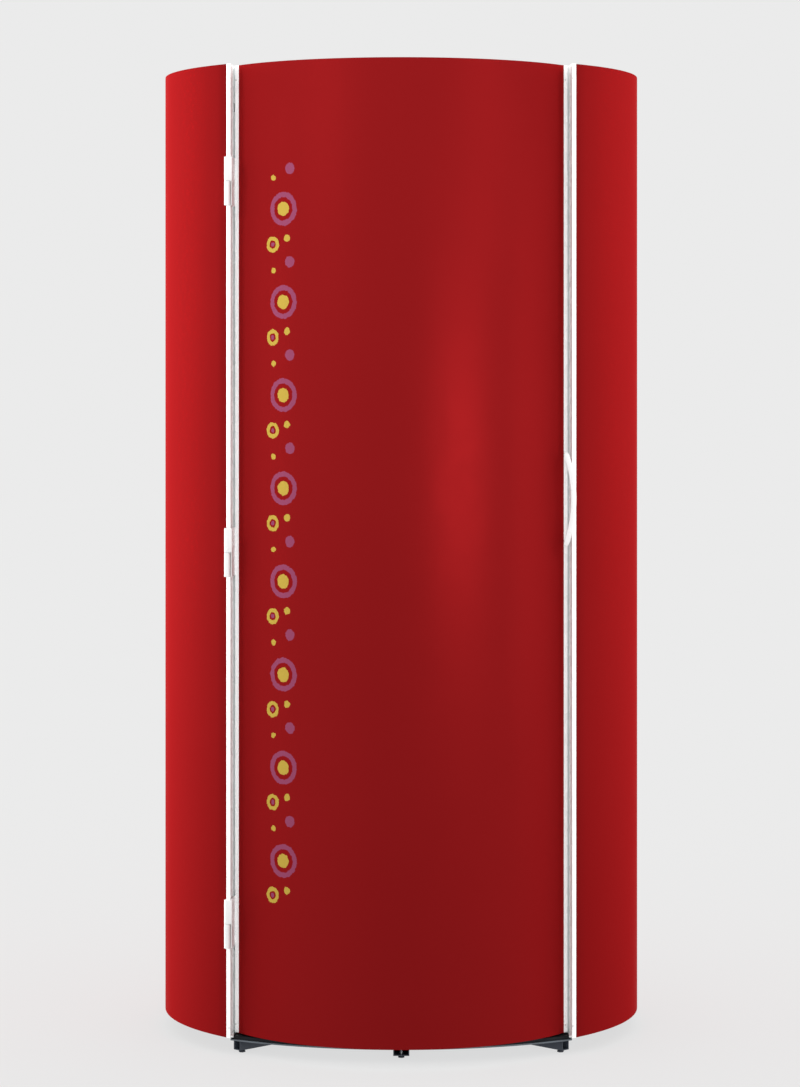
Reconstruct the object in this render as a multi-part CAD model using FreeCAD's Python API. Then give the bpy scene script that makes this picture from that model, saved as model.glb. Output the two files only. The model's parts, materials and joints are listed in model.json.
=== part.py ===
"""Vertical tanning booth: a round lamp cabin with a curved lamp door on lift-off hinges.

Millimetres, +Z up. The origin is on the floor at the centre of the round cabin, and the door faces -Y.
Plan angles are in degrees from the front, growing towards +X.
"""
import FreeCAD, Part
import math
import os

# ---- overall form
BODY_RADIUS = 510.0          # outside of the round casing
DOOR_RADIUS = 406.0          # outside of the door, a tighter curve that meets the casing's circle in front
BODY_HEIGHT = 2002.0         # casing, posts and door, from their lower edge to their upper edge
BODY_BOTTOM = 40.0           # height of that lower edge above the floor
SHEET = 3.0                  # casing and door skin
PANEL_JOINT = 0.9            # gap between a casing panel and its neighbour

# ---- front posts, rear posts and jambs
POST_TO_DOOR = 6.7           # sideways, from the door's edge to the front corner of a post
POST_FACE = 12.0             # width of the post's white front bar
POST_WALL = 3.0
HEEL_INSET = 11.1            # from the door's outer face in to the post's heel
HEEL_DEPTH = 19.2            # and how far the heel lies behind the door's side
REAR_POST_ANGLE = 135.0
REAR_POST_WIDTH = 34.0
REAR_POST_DEPTH = 38.0
JAMB_GAP = 5.0               # between the door's side and the jamb behind it
JAMB_LENGTH = 62.0
JAMB_SHEET = 2.0
SEAL_SETBACK = 4.0           # from the jamb's inner edge
SEAL_WIDTH = 10.0
SEAL_TO_DOOR = 0.6
SEAL_END = 20.0              # the seal stops this far short of both ends

# ---- door
DOOR_HALF_WIDTH = 345.0
DOOR_DEPTH = 110.0
STILE_WIDTH = 15.6           # along the door's curve
STILE_WALL = 2.5
CAP_THICKNESS = 6.0

# ---- lift-off hinges
HINGE_COUNT = 3
HINGE_OUT = 6.3              # from the post's front corner to the axis, sideways
HINGE_FORWARD = 4.667        # and towards the front
HINGE_LENGTH = 100.0
HINGE_LOWEST = 222.0         # lower end of the lowest hinge
HINGE_BELOW_TOP = 192.0      # upper end of the highest hinge, below the casing's upper edge
BARREL_DIAMETER = 12.0
BARREL_GAP = 0.5
PIN_DIAMETER = 6.0
PIN_CLEARANCE = 0.05         # radial, in the door's half
PIN_RISE = 38.0              # how far a pin stands up into the door's half
PIN_END_WALL = 4.0
LEAF_SHEET = 2.4
LEAF_TO_POST = 1.2           # between the door's leaf and the post's flank
LEAF_BEND = 2.0              # the leaf turns towards the barrel this far in front of the post
LEAF_END = 4.0               # the leaf stops this far short of the jamb
LUG_WIDTH = 6.0
LUG_OFFSET = 1.5             # middle of the lug, from the axis
LUG_REACH = 12.6             # from the axis into the post's front bar

# ---- handles
HANDLE_BOTTOM = 1050.0
HANDLE_LENGTH = 192.0
HANDLE_INSET = 5.5           # the bow's ends, from the door's edge
HANDLE_BOW = 15.0
HANDLE_WIDTH = 10.7
HANDLE_THICKNESS = 6.0
HANDLE_TO_POST = 5.0         # gap between the bow and the post behind it
STANDOFF_DIAMETER = 9.0
STANDOFF_SINK = 2.0          # how far a standoff is let into the bow
GRIP_LENGTH = 220.0
GRIP_REACH = 38.0
GRIP_DIAMETER = 14.0

# ---- magnetic catch and the screw in the hinge post
CATCH_BOTTOM = 1130.0
CATCH_HEIGHT = 70.0
CATCH_SETBACK = 34.0         # from the door's outer face
CATCH_WIDTH = 20.0
CATCH_GAP = 0.4
STRIKE_SHEET = 1.0
SCREW_DIAMETER = 6.0
SCREW_HEIGHT = 2.0
SCREW_ABOVE_EDGE = 18.0

# ---- base
ARM_ANGLES = (45.0, 135.0, 180.0, 225.0, 315.0)
ARM_WIDTH = 20.0
ARM_HEIGHT = 20.0
ARM_WALL = 2.0
ARM_BOTTOM = 6.0
ARM_INSET = 30.0             # the arms end this far inside the casing
FRONT_ARM_WIDTH = 33.0
FRONT_ARM_INSET = 40.0       # behind the sill's front edge
HUB_DIAMETER = 130.0
FOOT_FROM_END = 14.0
FOOT_HEAD_FLATS = 13.0
FOOT_HEAD_HEIGHT = 4.0
FOOT_STUD_DIAMETER = 8.0
BASE_PLATE_SHEET = 3.0
FLOOR_INSET = 39.0           # the floor's circle is this much smaller than the casing's and meets it at the back
SILL_SETBACK = 70.0          # the sill's front edge, behind the casing's circle
SILL_RADIUS = 673.0
SILL_OVERHANG = 8.0          # sideways, past the door's edge and under the front posts
PAN_HEIGHT = 7.0
PAN_SETBACK = 3.0
MAT_TO_DOOR = 26.0           # the round mat is this much smaller than the door's inner curve
MAT_THICKNESS = 6.0

# ---- mains inlet under the rear of the floor
GLAND_ANGLE = 160.0
GLAND_TO_RAIL = 15.5         # from the lamp rail's back to the gland's middle
GLAND_DIAMETER = 20.0
GLAND_BORE = 10.0
GLAND_NUT_FLATS = 26.0
GLAND_NUT_HEIGHT = 5.0
GLAND_DROP = 14.0
TERMINAL_ANGLE = 169.0
TERMINAL_TO_RAIL = 21.5      # and to the terminal block's
TERMINAL_WIDTH = 60.0
TERMINAL_DEPTH = 22.0
TERMINAL_HEIGHT = 28.0
CONTACTOR_ANGLE = 197.0
CONTACTOR_TO_CASING = 9.0
CONTACTOR_WIDTH = 90.0
CONTACTOR_DEPTH = 42.0
CONTACTOR_HEIGHT = 130.0

# ---- lamps and what they shine through
LAMP_DIAMETER = 38.0
LAMP_BOTTOM = 140.0
LAMP_BELOW_TOP = 142.0       # upper end of the lamps, below the casing's upper edge
BODY_LAMPS = 22
BODY_LAMP_INSET = 92.0       # from the casing's inner face to the lamps' centres
DOOR_LAMPS = 8
DOOR_LAMP_INSET = 30.0       # from the door's inner face to the lamps' centres
HOLDER_WIDTH = 30.0
HOLDER_DEPTH = 24.0
HOLDER_HEIGHT = 26.0
REFLECTOR_SHEET = 1.5
REFLECTOR_GAP = 10.0         # lamp to reflector
REFLECTOR_TO_POST = 35.0
REFLECTOR_TO_STILE = 7.8
REFLECTOR_FLAT = 0.35        # share of a valley's width that is flat
RAIL_LIP = 3.0               # the rails stand out this far behind the reflector
SHIELD_SHEET = 3.0
SHIELD_GAP = 12.0            # lamp to shield

# ---- roof and ceiling
ROOF_DROP = 10.0             # roof sheet below the casing's upper edge
ROOF_SHEET = 2.0
ROOF_TO_DOOR = 8.0           # roof and ceiling edges stay this far inside the door's inner face
ROOF_TO_JAMB = 9.2           # and this far beyond its sides
CEILING_DROP = 92.0
CEILING_SHEET = 4.0
CEILING_FRONT_CORNERS = 9    # between the lamp rail's two ends
SLOT_COUNT = 11
SLOT_WIDTH = 8.0
SLOT_LENGTH = 200.0
SLOT_PITCH = 22.0
GRAB_RAIL_DIAMETER = 25.0
GRAB_RAIL_SPAN = 260.0
GRAB_RAIL_DROP = 90.0
GRAB_RAIL_Y = -40.0
FLANGE_DIAMETER = 60.0
FLANGE_HEIGHT = 5.0

# ---- extractor fans
FAN_DIAMETER = 200.0
FAN_DEPTH = 46.0
FAN_OFFSET_X = 130.0
FAN_TO_RAIL = 231.0          # rearwards, from the fan's axle to the lamp rail's inner face
FAN_WALL = 2.5
FAN_STRUTS = 4
FAN_STRUT_WIDTH = 8.0
FAN_MOTOR_HEIGHT = 10.0
FAN_HUB_DIAMETER = 76.0
FAN_HUB_HEIGHT = 26.0
FAN_HUB_GAP = 1.0
FAN_AXLE_DIAMETER = 8.0
FAN_AXLE_CLEARANCE = 0.05
FAN_BLADES = 7
BLADE_PITCH = 35.0
BLADE_SHEET = 2.0
BLADE_ROOT = 3.0             # how far a blade is let into the hub
BLADE_TIP_GAP = 5.0
ROOT_CHORD = 24.0
TIP_CHORD = 36.0
GUARD_BARS = 7
GUARD_BAR = 3.0
GUARD_RIM = 9.0
GUARD_HEIGHT = 4.0

# ---- electrical gear behind the rear reflector
TRAY_WIDTH = 130.0
TRAY_SHEET = 2.0
BALLAST_WIDTH = 42.0
BALLAST_DEPTH = 32.0
BALLAST_LENGTH = 190.0
BALLAST_PITCH = 204.0
BALLAST_RISE = 90.0          # lowest ballast above the floor pan

# ---- louvres of the back panel
LOUVRE_ROWS = 4
LOUVRE_ANGLE = 13.0          # plan angle that one louvre spans
LOUVRE_OFFSET = 9.1          # middle of a louvre from the middle of the panel, in plan angle
LOUVRE_PITCH = 38.0
LOUVRE_HEIGHT = 12.0
LOUVRE_DEPTH = 11.0
LOUVRE_MARGIN = 190.0        # from the panel's lower and upper edges

# ---- inner console and its buttons
CONSOLE_WIDTH = 150.0
CONSOLE_HEIGHT = 210.0
CONSOLE_DEPTH = 22.0
CONSOLE_BOTTOM = 1180.0
LENS_WIDTH = 84.0
LENS_HEIGHT = 38.0
LENS_SHEET = 3.0
LENS_BELOW_TOP = 24.0
BUTTON_COLUMNS = {"start": 1, "fan": 0, "stop": -1}
BUTTON_SIZE = 24.0
BUTTON_HEIGHT = 12.0
BUTTON_REST = 5.0            # how far a button stands out of the console
BUTTON_TRAVEL = 3.0
BUTTON_CLEARANCE = 0.3
BUTTON_PITCH = 40.0
BUTTON_RISE = 70.0           # middle of the buttons above the console's lower edge

# ---- corners of the rounds that are drawn with few faces
LAMP_SIDES = 8
STUD_SIDES = 10              # studs, pins, barrels and bars
ROUND_SIDES = 24             # fan ducts and hubs, and the mat

# ---- values worked out from those above
VECTOR = FreeCAD.Vector
UP = VECTOR(0, 0, 1)
ORIGIN = VECTOR(0, 0, 0)


def turned(arc, radius):
    """The plan angle that an arc length spans on a circle."""
    return math.degrees(arc / radius)


BODY_TOP = BODY_BOTTOM + BODY_HEIGHT
CASING_INNER = BODY_RADIUS - SHEET
DOOR_CENTRE_Y = DOOR_RADIUS - BODY_RADIUS
DOOR_HALF_ANGLE = math.degrees(math.asin(DOOR_HALF_WIDTH / DOOR_RADIUS))
DOOR_PANEL_END = DOOR_HALF_ANGLE - turned(STILE_WIDTH, DOOR_RADIUS)
DOOR_INNER_RADIUS = DOOR_RADIUS - DOOR_DEPTH
POST_ANGLE = math.degrees(math.asin((DOOR_HALF_WIDTH + POST_TO_DOOR) / BODY_RADIUS))
FACE_ANGLE = POST_ANGLE + turned(POST_FACE, BODY_RADIUS)
JOINT_ANGLE = turned(PANEL_JOINT, BODY_RADIUS)

ROOF_Z = BODY_TOP - ROOF_DROP
CEILING_Z = BODY_TOP - CEILING_DROP
ARM_TOP = ARM_BOTTOM + ARM_HEIGHT
PAN_Z = ARM_TOP + BASE_PLATE_SHEET
PAN_TOP = PAN_Z + PAN_HEIGHT
SILL_Y = SILL_SETBACK - BODY_RADIUS
CABIN_FRONT_Y = DOOR_CENTRE_Y - DOOR_INNER_RADIUS + ROOF_TO_DOOR
MAT_RADIUS = DOOR_INNER_RADIUS - MAT_TO_DOOR

BODY_LAMP_RADIUS = CASING_INNER - BODY_LAMP_INSET
DOOR_LAMP_RADIUS = DOOR_INNER_RADIUS + DOOR_LAMP_INSET
LAMP_TOP = BODY_TOP - LAMP_BELOW_TOP
RAIL_LOW_TOP = LAMP_BOTTOM - HOLDER_HEIGHT
RAIL_HIGH_BOTTOM = LAMP_TOP + HOLDER_HEIGHT
VALLEY = LAMP_DIAMETER / 2 + REFLECTOR_GAP                  # from a lamp's centre to the reflector behind it
RAIL_BACK = VALLEY + REFLECTOR_SHEET + RAIL_LIP             # and to the back of its rail
SHIELD_RADIUS = BODY_LAMP_RADIUS - LAMP_DIAMETER / 2 - SHIELD_GAP
RAIL_INNER = SHIELD_RADIUS - SHIELD_SHEET
RAIL_OUTER = BODY_LAMP_RADIUS + RAIL_BACK
FAN_Y = RAIL_INNER - FAN_TO_RAIL
FAN_FLOOR = ROOF_Z - FAN_DEPTH
FAN_COLUMNS = {"left": -FAN_OFFSET_X, "right": FAN_OFFSET_X}


# ---- plan geometry and simple solids
def at(radius, angle, height=0.0, centre_y=0.0):
    """A point at a plan angle from the front, on a circle about the cabin or, with centre_y, about the door."""
    turn = math.radians(angle)
    return VECTOR(radius * math.sin(turn), centre_y - radius * math.cos(turn), height)


def spread(first, last, count):
    return [first + (last - first) * i / (count - 1) for i in range(count)]


def middles(values):
    return [(low + high) / 2 for low, high in zip(values, values[1:])]


def mirrored(shape):
    return shape.mirror(ORIGIN, VECTOR(1, 0, 0))


def group(solids):
    return Part.makeCompound(solids)


def sector(inner, outer, first, last, low, high, centre_y=0.0):
    """A curved wall between two radii, two plan angles and two heights."""
    middle = (first + last) / 2
    a, b, c = (at(outer, angle, low, centre_y) for angle in (first, middle, last))
    d, e, f = (at(inner, angle, low, centre_y) for angle in (last, middle, first))
    edges = [
        Part.Arc(a, b, c).toShape(),
        Part.makeLine(c, d),
        Part.Arc(d, e, f).toShape(),
        Part.makeLine(f, a),
    ]
    return Part.Face(Part.Wire(edges)).extrude(UP * (high - low))


def prism(points, low, high):
    """An upright piece with a plan outline of points, whose own heights don't matter."""
    corners = [VECTOR(point.x, point.y, low) for point in points]
    return Part.Face(Part.makePolygon(corners + corners[:1])).extrude(UP * (high - low))


def flat_sided(inner, outer, angles, low, high, centre_y=0.0):
    """A wall folded in flats, with its corners at the given plan angles."""
    front = [at(inner, angle, low, centre_y) for angle in angles]
    back = [at(outer, angle, low, centre_y) for angle in reversed(angles)]
    return prism(front + back, low, high)


def disc(radius, low, high, spot=ORIGIN):
    return Part.makeCylinder(radius, high - low, VECTOR(spot.x, spot.y, low))


def many_sided(radius, low, high, spot=ORIGIN, sides=STUD_SIDES):
    """An upright round with few faces, for what repeats."""
    return prism([spot + at(radius, 360 * i / sides) for i in range(sides)], low, high)


def hexagon(flats, low, high, spot):
    return many_sided(flats / math.sqrt(3), low, high, spot, 6)


def bar(start, end, diameter):
    """A many-sided bar from one point to another."""
    solid = many_sided(diameter / 2, 0, (end - start).Length)
    solid.Placement = FreeCAD.Placement(start, FreeCAD.Rotation(UP, end - start))
    return solid


def block(width, depth, height, low, radius, angle, centre_y=0.0):
    """A box whose width is tangential and depth radial, centred on a plan circle."""
    solid = Part.makeBox(width, depth, height, VECTOR(-width / 2, -depth / 2, 0))
    solid.rotate(ORIGIN, UP, angle)
    solid.translate(at(radius, angle, low, centre_y))
    return solid


def upright_box(half_width, front, back, low, high, x=0.0):
    """A box square to the booth, from its front to its back."""
    return Part.makeBox(2 * half_width, back - front, high - low, VECTOR(x - half_width, front, low))


def square(half, low, high, spot):
    return Part.makeBox(2 * half, 2 * half, high - low, VECTOR(spot.x - half, spot.y - half, low))


# ---- base: welded arms, levelling feet, base plate, floor pan and mat
FRONT_ARM = (0.0, FRONT_ARM_WIDTH, -SILL_Y - FRONT_ARM_INSET)
ARMS = [FRONT_ARM] + [(angle, ARM_WIDTH, BODY_RADIUS - ARM_INSET) for angle in ARM_ANGLES]
FEET = [at(reach - FOOT_FROM_END, angle) for angle, width, reach in ARMS]
GLAND_SPOT = at(RAIL_OUTER + GLAND_TO_RAIL, GLAND_ANGLE)


def base_frame():
    """Square tubes welded round a hub, open at their outer ends, with a hole for each foot."""
    hub = HUB_DIAMETER / 2
    tubes = [block(width, reach, ARM_HEIGHT, ARM_BOTTOM, reach / 2, angle) for angle, width, reach in ARMS]
    bores = []
    for angle, width, reach in ARMS:
        across, upright = width - 2 * ARM_WALL, ARM_HEIGHT - 2 * ARM_WALL
        bores.append(block(across, reach - hub, upright, ARM_BOTTOM + ARM_WALL, (reach + hub) / 2, angle))
    holes = [many_sided(FOOT_STUD_DIAMETER / 2, 0, ARM_BOTTOM + ARM_WALL, spot) for spot in FEET]
    frame = many_sided(hub, ARM_BOTTOM, ARM_TOP).multiFuse(tubes)
    return frame.removeSplitter().cut(group(bores + holes))


def levelling_feet():
    feet = []
    for spot in FEET:
        head = hexagon(FOOT_HEAD_FLATS, 0, FOOT_HEAD_HEIGHT, spot)
        stud = many_sided(FOOT_STUD_DIAMETER / 2, FOOT_HEAD_HEIGHT, ARM_TOP - ARM_WALL, spot)
        feet.append(head.fuse(stud))
    return group(feet)


def gland_tube(low, high):
    return many_sided(GLAND_DIAMETER / 2, low, high, GLAND_SPOT)


def floor_sheet(setback, low, high):
    """The round floor with a sill under the door and the front posts, set back evenly, and the gland's hole."""
    floor = disc(CASING_INNER - FLOOR_INSET - setback, low, high, VECTOR(0, FLOOR_INSET, 0))
    sill = upright_box(DOOR_HALF_WIDTH + SILL_OVERHANG - setback, -BODY_RADIUS, 0, low, high)
    front = disc(SILL_RADIUS - setback, low, high, VECTOR(0, SILL_Y + SILL_RADIUS, 0))
    return floor.fuse(sill.common(front)).removeSplitter().cut(gland_tube(low, high))


def floor_mat():
    """A round standing mat that reaches forward to the door."""
    centre = VECTOR(0, CABIN_FRONT_Y + MAT_RADIUS, 0)
    return many_sided(MAT_RADIUS, PAN_TOP, PAN_TOP + MAT_THICKNESS, centre, ROUND_SIDES)


def cable_gland():
    """A threaded tube between two nuts that clamp the floor."""
    top = PAN_TOP + GLAND_NUT_HEIGHT
    bottom = ARM_TOP - GLAND_DROP
    tube = gland_tube(bottom, top)
    dome = hexagon(GLAND_NUT_FLATS, ARM_TOP - GLAND_NUT_HEIGHT, ARM_TOP, GLAND_SPOT)
    nut = hexagon(GLAND_NUT_FLATS, PAN_TOP, top, GLAND_SPOT)
    return tube.multiFuse([dome, nut]).cut(disc(GLAND_BORE / 2, bottom, top, GLAND_SPOT))


def terminal_block():
    radius = RAIL_OUTER + TERMINAL_TO_RAIL
    return block(TERMINAL_WIDTH, TERMINAL_DEPTH, TERMINAL_HEIGHT, PAN_TOP, radius, TERMINAL_ANGLE)


def contactor_box():
    radius = CASING_INNER - CONTACTOR_TO_CASING - CONTACTOR_DEPTH / 2
    return block(CONTACTOR_WIDTH, CONTACTOR_DEPTH, CONTACTOR_HEIGHT, PAN_TOP, radius, CONTACTOR_ANGLE)


# ---- posts and casing
def beside_door(along, behind):
    """A plan point on the door's right side: along is measured from the door's centre, behind from its side."""
    return at(along, DOOR_HALF_ANGLE, 0, DOOR_CENTRE_Y) + at(behind, DOOR_HALF_ANGLE + 90)


def strip_beside_door(near, far, front, back, low, high):
    """A flat strip parallel to the door's right side."""
    corners = [(near, front), (far, front), (far, back), (near, back)]
    return prism([beside_door(along, behind) for along, behind in corners], low, high)


HEEL = beside_door(DOOR_RADIUS - HEEL_INSET, HEEL_DEPTH)
TOE = beside_door(DOOR_RADIUS, JAMB_GAP)
POST_BACK_ANGLE = math.degrees(math.atan2(HEEL.x, -HEEL.y))


def post_outline():
    """The front post's section: front bar, step behind the side panel's edge, back, heel and toe beside the door."""
    bar_face = [at(BODY_RADIUS, POST_ANGLE), at(BODY_RADIUS, FACE_ANGLE)]
    behind_panel = [at(CASING_INNER, FACE_ANGLE), at(CASING_INNER, POST_BACK_ANGLE)]
    return bar_face + behind_panel + [HEEL, TOE]


def jamb(low, high):
    """The strip behind the door's side that the door closes against."""
    near, far = DOOR_RADIUS - JAMB_LENGTH, DOOR_RADIUS + JAMB_SHEET
    return strip_beside_door(near, far, JAMB_GAP, JAMB_GAP + JAMB_SHEET, low, high)


def right_post():
    """A hollow post with its jamb."""
    corner, face, *others = post_outline()
    points = [VECTOR(point.x, point.y, PAN_TOP) for point in [corner] + others + [corner]]
    hollow = Part.Face(Part.makePolygon(points).makeOffset2D(-POST_WALL)).extrude(UP * (BODY_TOP - PAN_TOP))
    strip = jamb(PAN_TOP, BODY_TOP).cut(hollow)
    return prism(post_outline(), PAN_TOP, BODY_TOP).cut(hollow).fuse(strip).removeSplitter()


def jamb_seal():
    near = DOOR_RADIUS - JAMB_LENGTH + SEAL_SETBACK
    low, high = BODY_BOTTOM + SEAL_END, BODY_TOP - SEAL_END
    return strip_beside_door(near, near + SEAL_WIDTH, SEAL_TO_DOOR, JAMB_GAP, low, high)


def rear_post(angle):
    """A square tube that the side and back panels meet on."""
    half = turned(REAR_POST_WIDTH / 2, CASING_INNER)
    wall = turned(POST_WALL, CASING_INNER)
    front, back = CASING_INNER - REAR_POST_DEPTH, CASING_INNER
    ends = (angle - half, angle + half)
    inner_ends = (angle - half + wall, angle + half - wall)
    hollow = sector(front + POST_WALL, back - POST_WALL, *inner_ends, PAN_TOP, ROOF_Z)
    return sector(front, back, *ends, PAN_TOP, ROOF_Z).cut(hollow)


def casing_sheet(first, last):
    """A sheet of the casing, which reaches down to the level of the posts' feet."""
    return sector(CASING_INNER, BODY_RADIUS, first + JOINT_ANGLE, last - JOINT_ANGLE, PAN_TOP, BODY_TOP)


def louvre_slot(angle, low):
    first, last = angle - LOUVRE_ANGLE / 2, angle + LOUVRE_ANGLE / 2
    return sector(CASING_INNER - SHEET, BODY_RADIUS + SHEET, first, last, low, low + LOUVRE_HEIGHT)


def louvre_lip(angle, low):
    """The lip that leans in and up behind its slot, a third of the sheet thick at its edge."""
    root, tip = CASING_INNER + SHEET / 2, CASING_INNER - LOUVRE_DEPTH
    rise, edge = LOUVRE_HEIGHT - SHEET / 2, SHEET / 3
    profile = [(root, -SHEET / 2), (root, 0.0), (tip + edge, rise), (tip, rise - edge)]
    corners = [at(radius, angle - LOUVRE_ANGLE / 2, low + height) for radius, height in profile]
    return Part.Face(Part.makePolygon(corners + corners[:1])).revolve(ORIGIN, UP, LOUVRE_ANGLE)


def back_panel():
    """The rear sheet with a low and a high bank of louvres in two columns."""
    bank = LOUVRE_PITCH * (LOUVRE_ROWS - 1)
    banks = (BODY_BOTTOM + LOUVRE_MARGIN, BODY_TOP - LOUVRE_MARGIN - bank)
    places = [
        (180 + side * LOUVRE_OFFSET, low + row * LOUVRE_PITCH)
        for low in banks for row in range(LOUVRE_ROWS) for side in (-1, 1)
    ]
    panel = casing_sheet(REAR_POST_ANGLE, 360 - REAR_POST_ANGLE)
    panel = panel.cut(group([louvre_slot(angle, low) for angle, low in places]))
    return panel.multiFuse([louvre_lip(angle, low) for angle, low in places])


def door_clearance(low, high):
    """The space in front of the roof and ceiling that belongs to the door and its swing."""
    half = DOOR_HALF_ANGLE + turned(ROOF_TO_JAMB, DOOR_RADIUS)
    inner = DOOR_INNER_RADIUS - ROOF_TO_DOOR
    return sector(inner, BODY_RADIUS + DOOR_RADIUS, -half, half, low, high, DOOR_CENTRE_Y)


def roof_panel():
    """The lid between the posts, with a square opening over each fan."""
    high = ROOF_Z + ROOF_SHEET
    vents = [square(FAN_DIAMETER / 2, ROOF_Z, high, VECTOR(x, FAN_Y, 0)) for x in FAN_COLUMNS.values()]
    right = [prism(post_outline(), ROOF_Z, high), jamb(ROOF_Z, high)]
    left = [mirrored(solid) for solid in right]
    lid = disc(CASING_INNER, ROOF_Z, high).cut(group(right + left + vents)).cut(door_clearance(ROOF_Z, high))
    return max(lid.Solids, key=lambda solid: solid.Volume)


# ---- lamps, their holders and rails, the folded reflectors and the clear shields
class LampSet:
    """Lamps on one plan circle, each behind its own flat of the rail and its own fold of the reflector."""

    def __init__(self, count, radius, first, last, centre_y=0.0):
        self.radius = radius
        self.centre_y = centre_y
        self.folds = spread(first, last, count + 1)
        self.angles = middles(self.folds)

    def lamps(self):
        spots = [at(self.radius, angle, 0, self.centre_y) for angle in self.angles]
        return group([many_sided(LAMP_DIAMETER / 2, LAMP_BOTTOM, LAMP_TOP, spot, LAMP_SIDES) for spot in spots])

    def holders(self):
        return group([
            block(HOLDER_WIDTH, HOLDER_DEPTH, HOLDER_HEIGHT, low, self.radius, angle, self.centre_y)
            for angle in self.angles for low in (RAIL_LOW_TOP, LAMP_TOP)
        ])

    def reflector(self):
        """A folded sheet with a flat-bottomed valley behind each lamp and a ridge between neighbours."""
        valley, ridge = self.radius + VALLEY, self.radius + REFLECTOR_GAP
        half = (self.folds[1] - self.folds[0]) / 2
        bends = [(self.folds[0], ridge)]
        for angle in self.angles:
            flat = half * REFLECTOR_FLAT
            bends += [(angle - flat, valley), (angle + flat, valley), (angle + half, ridge)]
        front = [at(radius, angle, 0, self.centre_y) for angle, radius in bends]
        back = [at(radius + REFLECTOR_SHEET, angle, 0, self.centre_y) for angle, radius in reversed(bends)]
        return prism(front + back, RAIL_LOW_TOP, RAIL_HIGH_BOTTOM)


BODY_START = POST_BACK_ANGLE + turned(REFLECTOR_TO_POST, BODY_LAMP_RADIUS)
DOOR_END = DOOR_PANEL_END - turned(REFLECTOR_TO_STILE, DOOR_RADIUS)
BODY_SET = LampSet(BODY_LAMPS, BODY_LAMP_RADIUS, BODY_START, 360 - BODY_START)
DOOR_SET = LampSet(DOOR_LAMPS, DOOR_LAMP_RADIUS, -DOOR_END, DOOR_END, DOOR_CENTRE_Y)


def body_rail(low, high):
    """A rail that carries lamp holders, reflector and shield."""
    return flat_sided(RAIL_INNER, RAIL_OUTER, BODY_SET.folds, low, high)


def door_rail(low, high):
    corners = [-DOOR_PANEL_END] + DOOR_SET.folds[1:-1] + [DOOR_PANEL_END]
    return flat_sided(DOOR_INNER_RADIUS, DOOR_LAMP_RADIUS + RAIL_BACK, corners, low, high, DOOR_CENTRE_Y)


def body_shield():
    return sector(RAIL_INNER, SHIELD_RADIUS, BODY_START, 360 - BODY_START, RAIL_LOW_TOP, RAIL_HIGH_BOTTOM)


def door_shield():
    outer = DOOR_INNER_RADIUS + SHIELD_SHEET
    ends = (-DOOR_PANEL_END, DOOR_PANEL_END)
    return sector(DOOR_INNER_RADIUS, outer, *ends, RAIL_LOW_TOP, RAIL_HIGH_BOTTOM, DOOR_CENTRE_Y)


# ---- ceiling and grab rail
def ceiling_panel():
    """A sheet that fills the lamp rail's flats, with air slots under the fans."""
    low, high = CEILING_Z, CEILING_Z + CEILING_SHEET
    front = spread(BODY_SET.folds[-1], 360 + BODY_SET.folds[0], CEILING_FRONT_CORNERS)
    corners = BODY_SET.folds + front[1:-1]
    sheet = prism([at(RAIL_INNER, angle) for angle in corners], low, high)
    ends = (FAN_Y - SLOT_LENGTH / 2, FAN_Y + SLOT_LENGTH / 2)
    columns = [(i - (SLOT_COUNT - 1) / 2) * SLOT_PITCH for i in range(SLOT_COUNT)]
    slots = [upright_box(SLOT_WIDTH / 2, *ends, low, high, x) for x in columns]
    return sheet.cut(door_clearance(low, high)).cut(group(slots))


def ceiling_grab_rail():
    """A straight rail between two drop posts with round flanges."""
    drop = CEILING_Z - GRAB_RAIL_DROP
    rail_end = VECTOR(GRAB_RAIL_SPAN / 2 + GRAB_RAIL_DIAMETER, GRAB_RAIL_Y, drop)
    pieces = []
    for side in (-1, 1):
        top = VECTOR(side * GRAB_RAIL_SPAN / 2, GRAB_RAIL_Y, CEILING_Z)
        pieces.append(bar(VECTOR(top.x, top.y, drop), top, GRAB_RAIL_DIAMETER))
        pieces.append(many_sided(FLANGE_DIAMETER / 2, CEILING_Z - FLANGE_HEIGHT, CEILING_Z, VECTOR(top.x, top.y, 0)))
    return bar(VECTOR(-rail_end.x, rail_end.y, drop), rail_end, GRAB_RAIL_DIAMETER).multiFuse(pieces)


# ---- extractor fans
def fan_frame(x):
    """The fan's square frame with its round duct, the struts, and the motor boss with its axle."""
    spot = VECTOR(x, FAN_Y, 0)
    reach = FAN_DIAMETER / 2 + FAN_WALL
    duct = many_sided(FAN_DIAMETER / 2, FAN_FLOOR, ROOF_Z, spot, ROUND_SIDES)
    shell = square(reach, FAN_FLOOR, ROOF_Z, spot).cut(duct)
    motor_top = FAN_FLOOR + FAN_MOTOR_HEIGHT
    axle_top = motor_top + FAN_HUB_GAP + FAN_HUB_HEIGHT - FAN_WALL
    pieces = [
        many_sided(FAN_HUB_DIAMETER / 2, FAN_FLOOR, motor_top, spot, ROUND_SIDES),
        many_sided(FAN_AXLE_DIAMETER / 2, motor_top, axle_top, spot),
    ]
    for i in range(FAN_STRUTS):
        strut = Part.makeBox(reach, FAN_STRUT_WIDTH, FAN_WALL, VECTOR(0, -FAN_STRUT_WIDTH / 2, FAN_FLOOR))
        strut.rotate(ORIGIN, UP, 360 * (i + 0.5) / FAN_STRUTS)
        strut.translate(spot)
        pieces.append(strut)
    return shell.multiFuse(pieces).removeSplitter()


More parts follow.
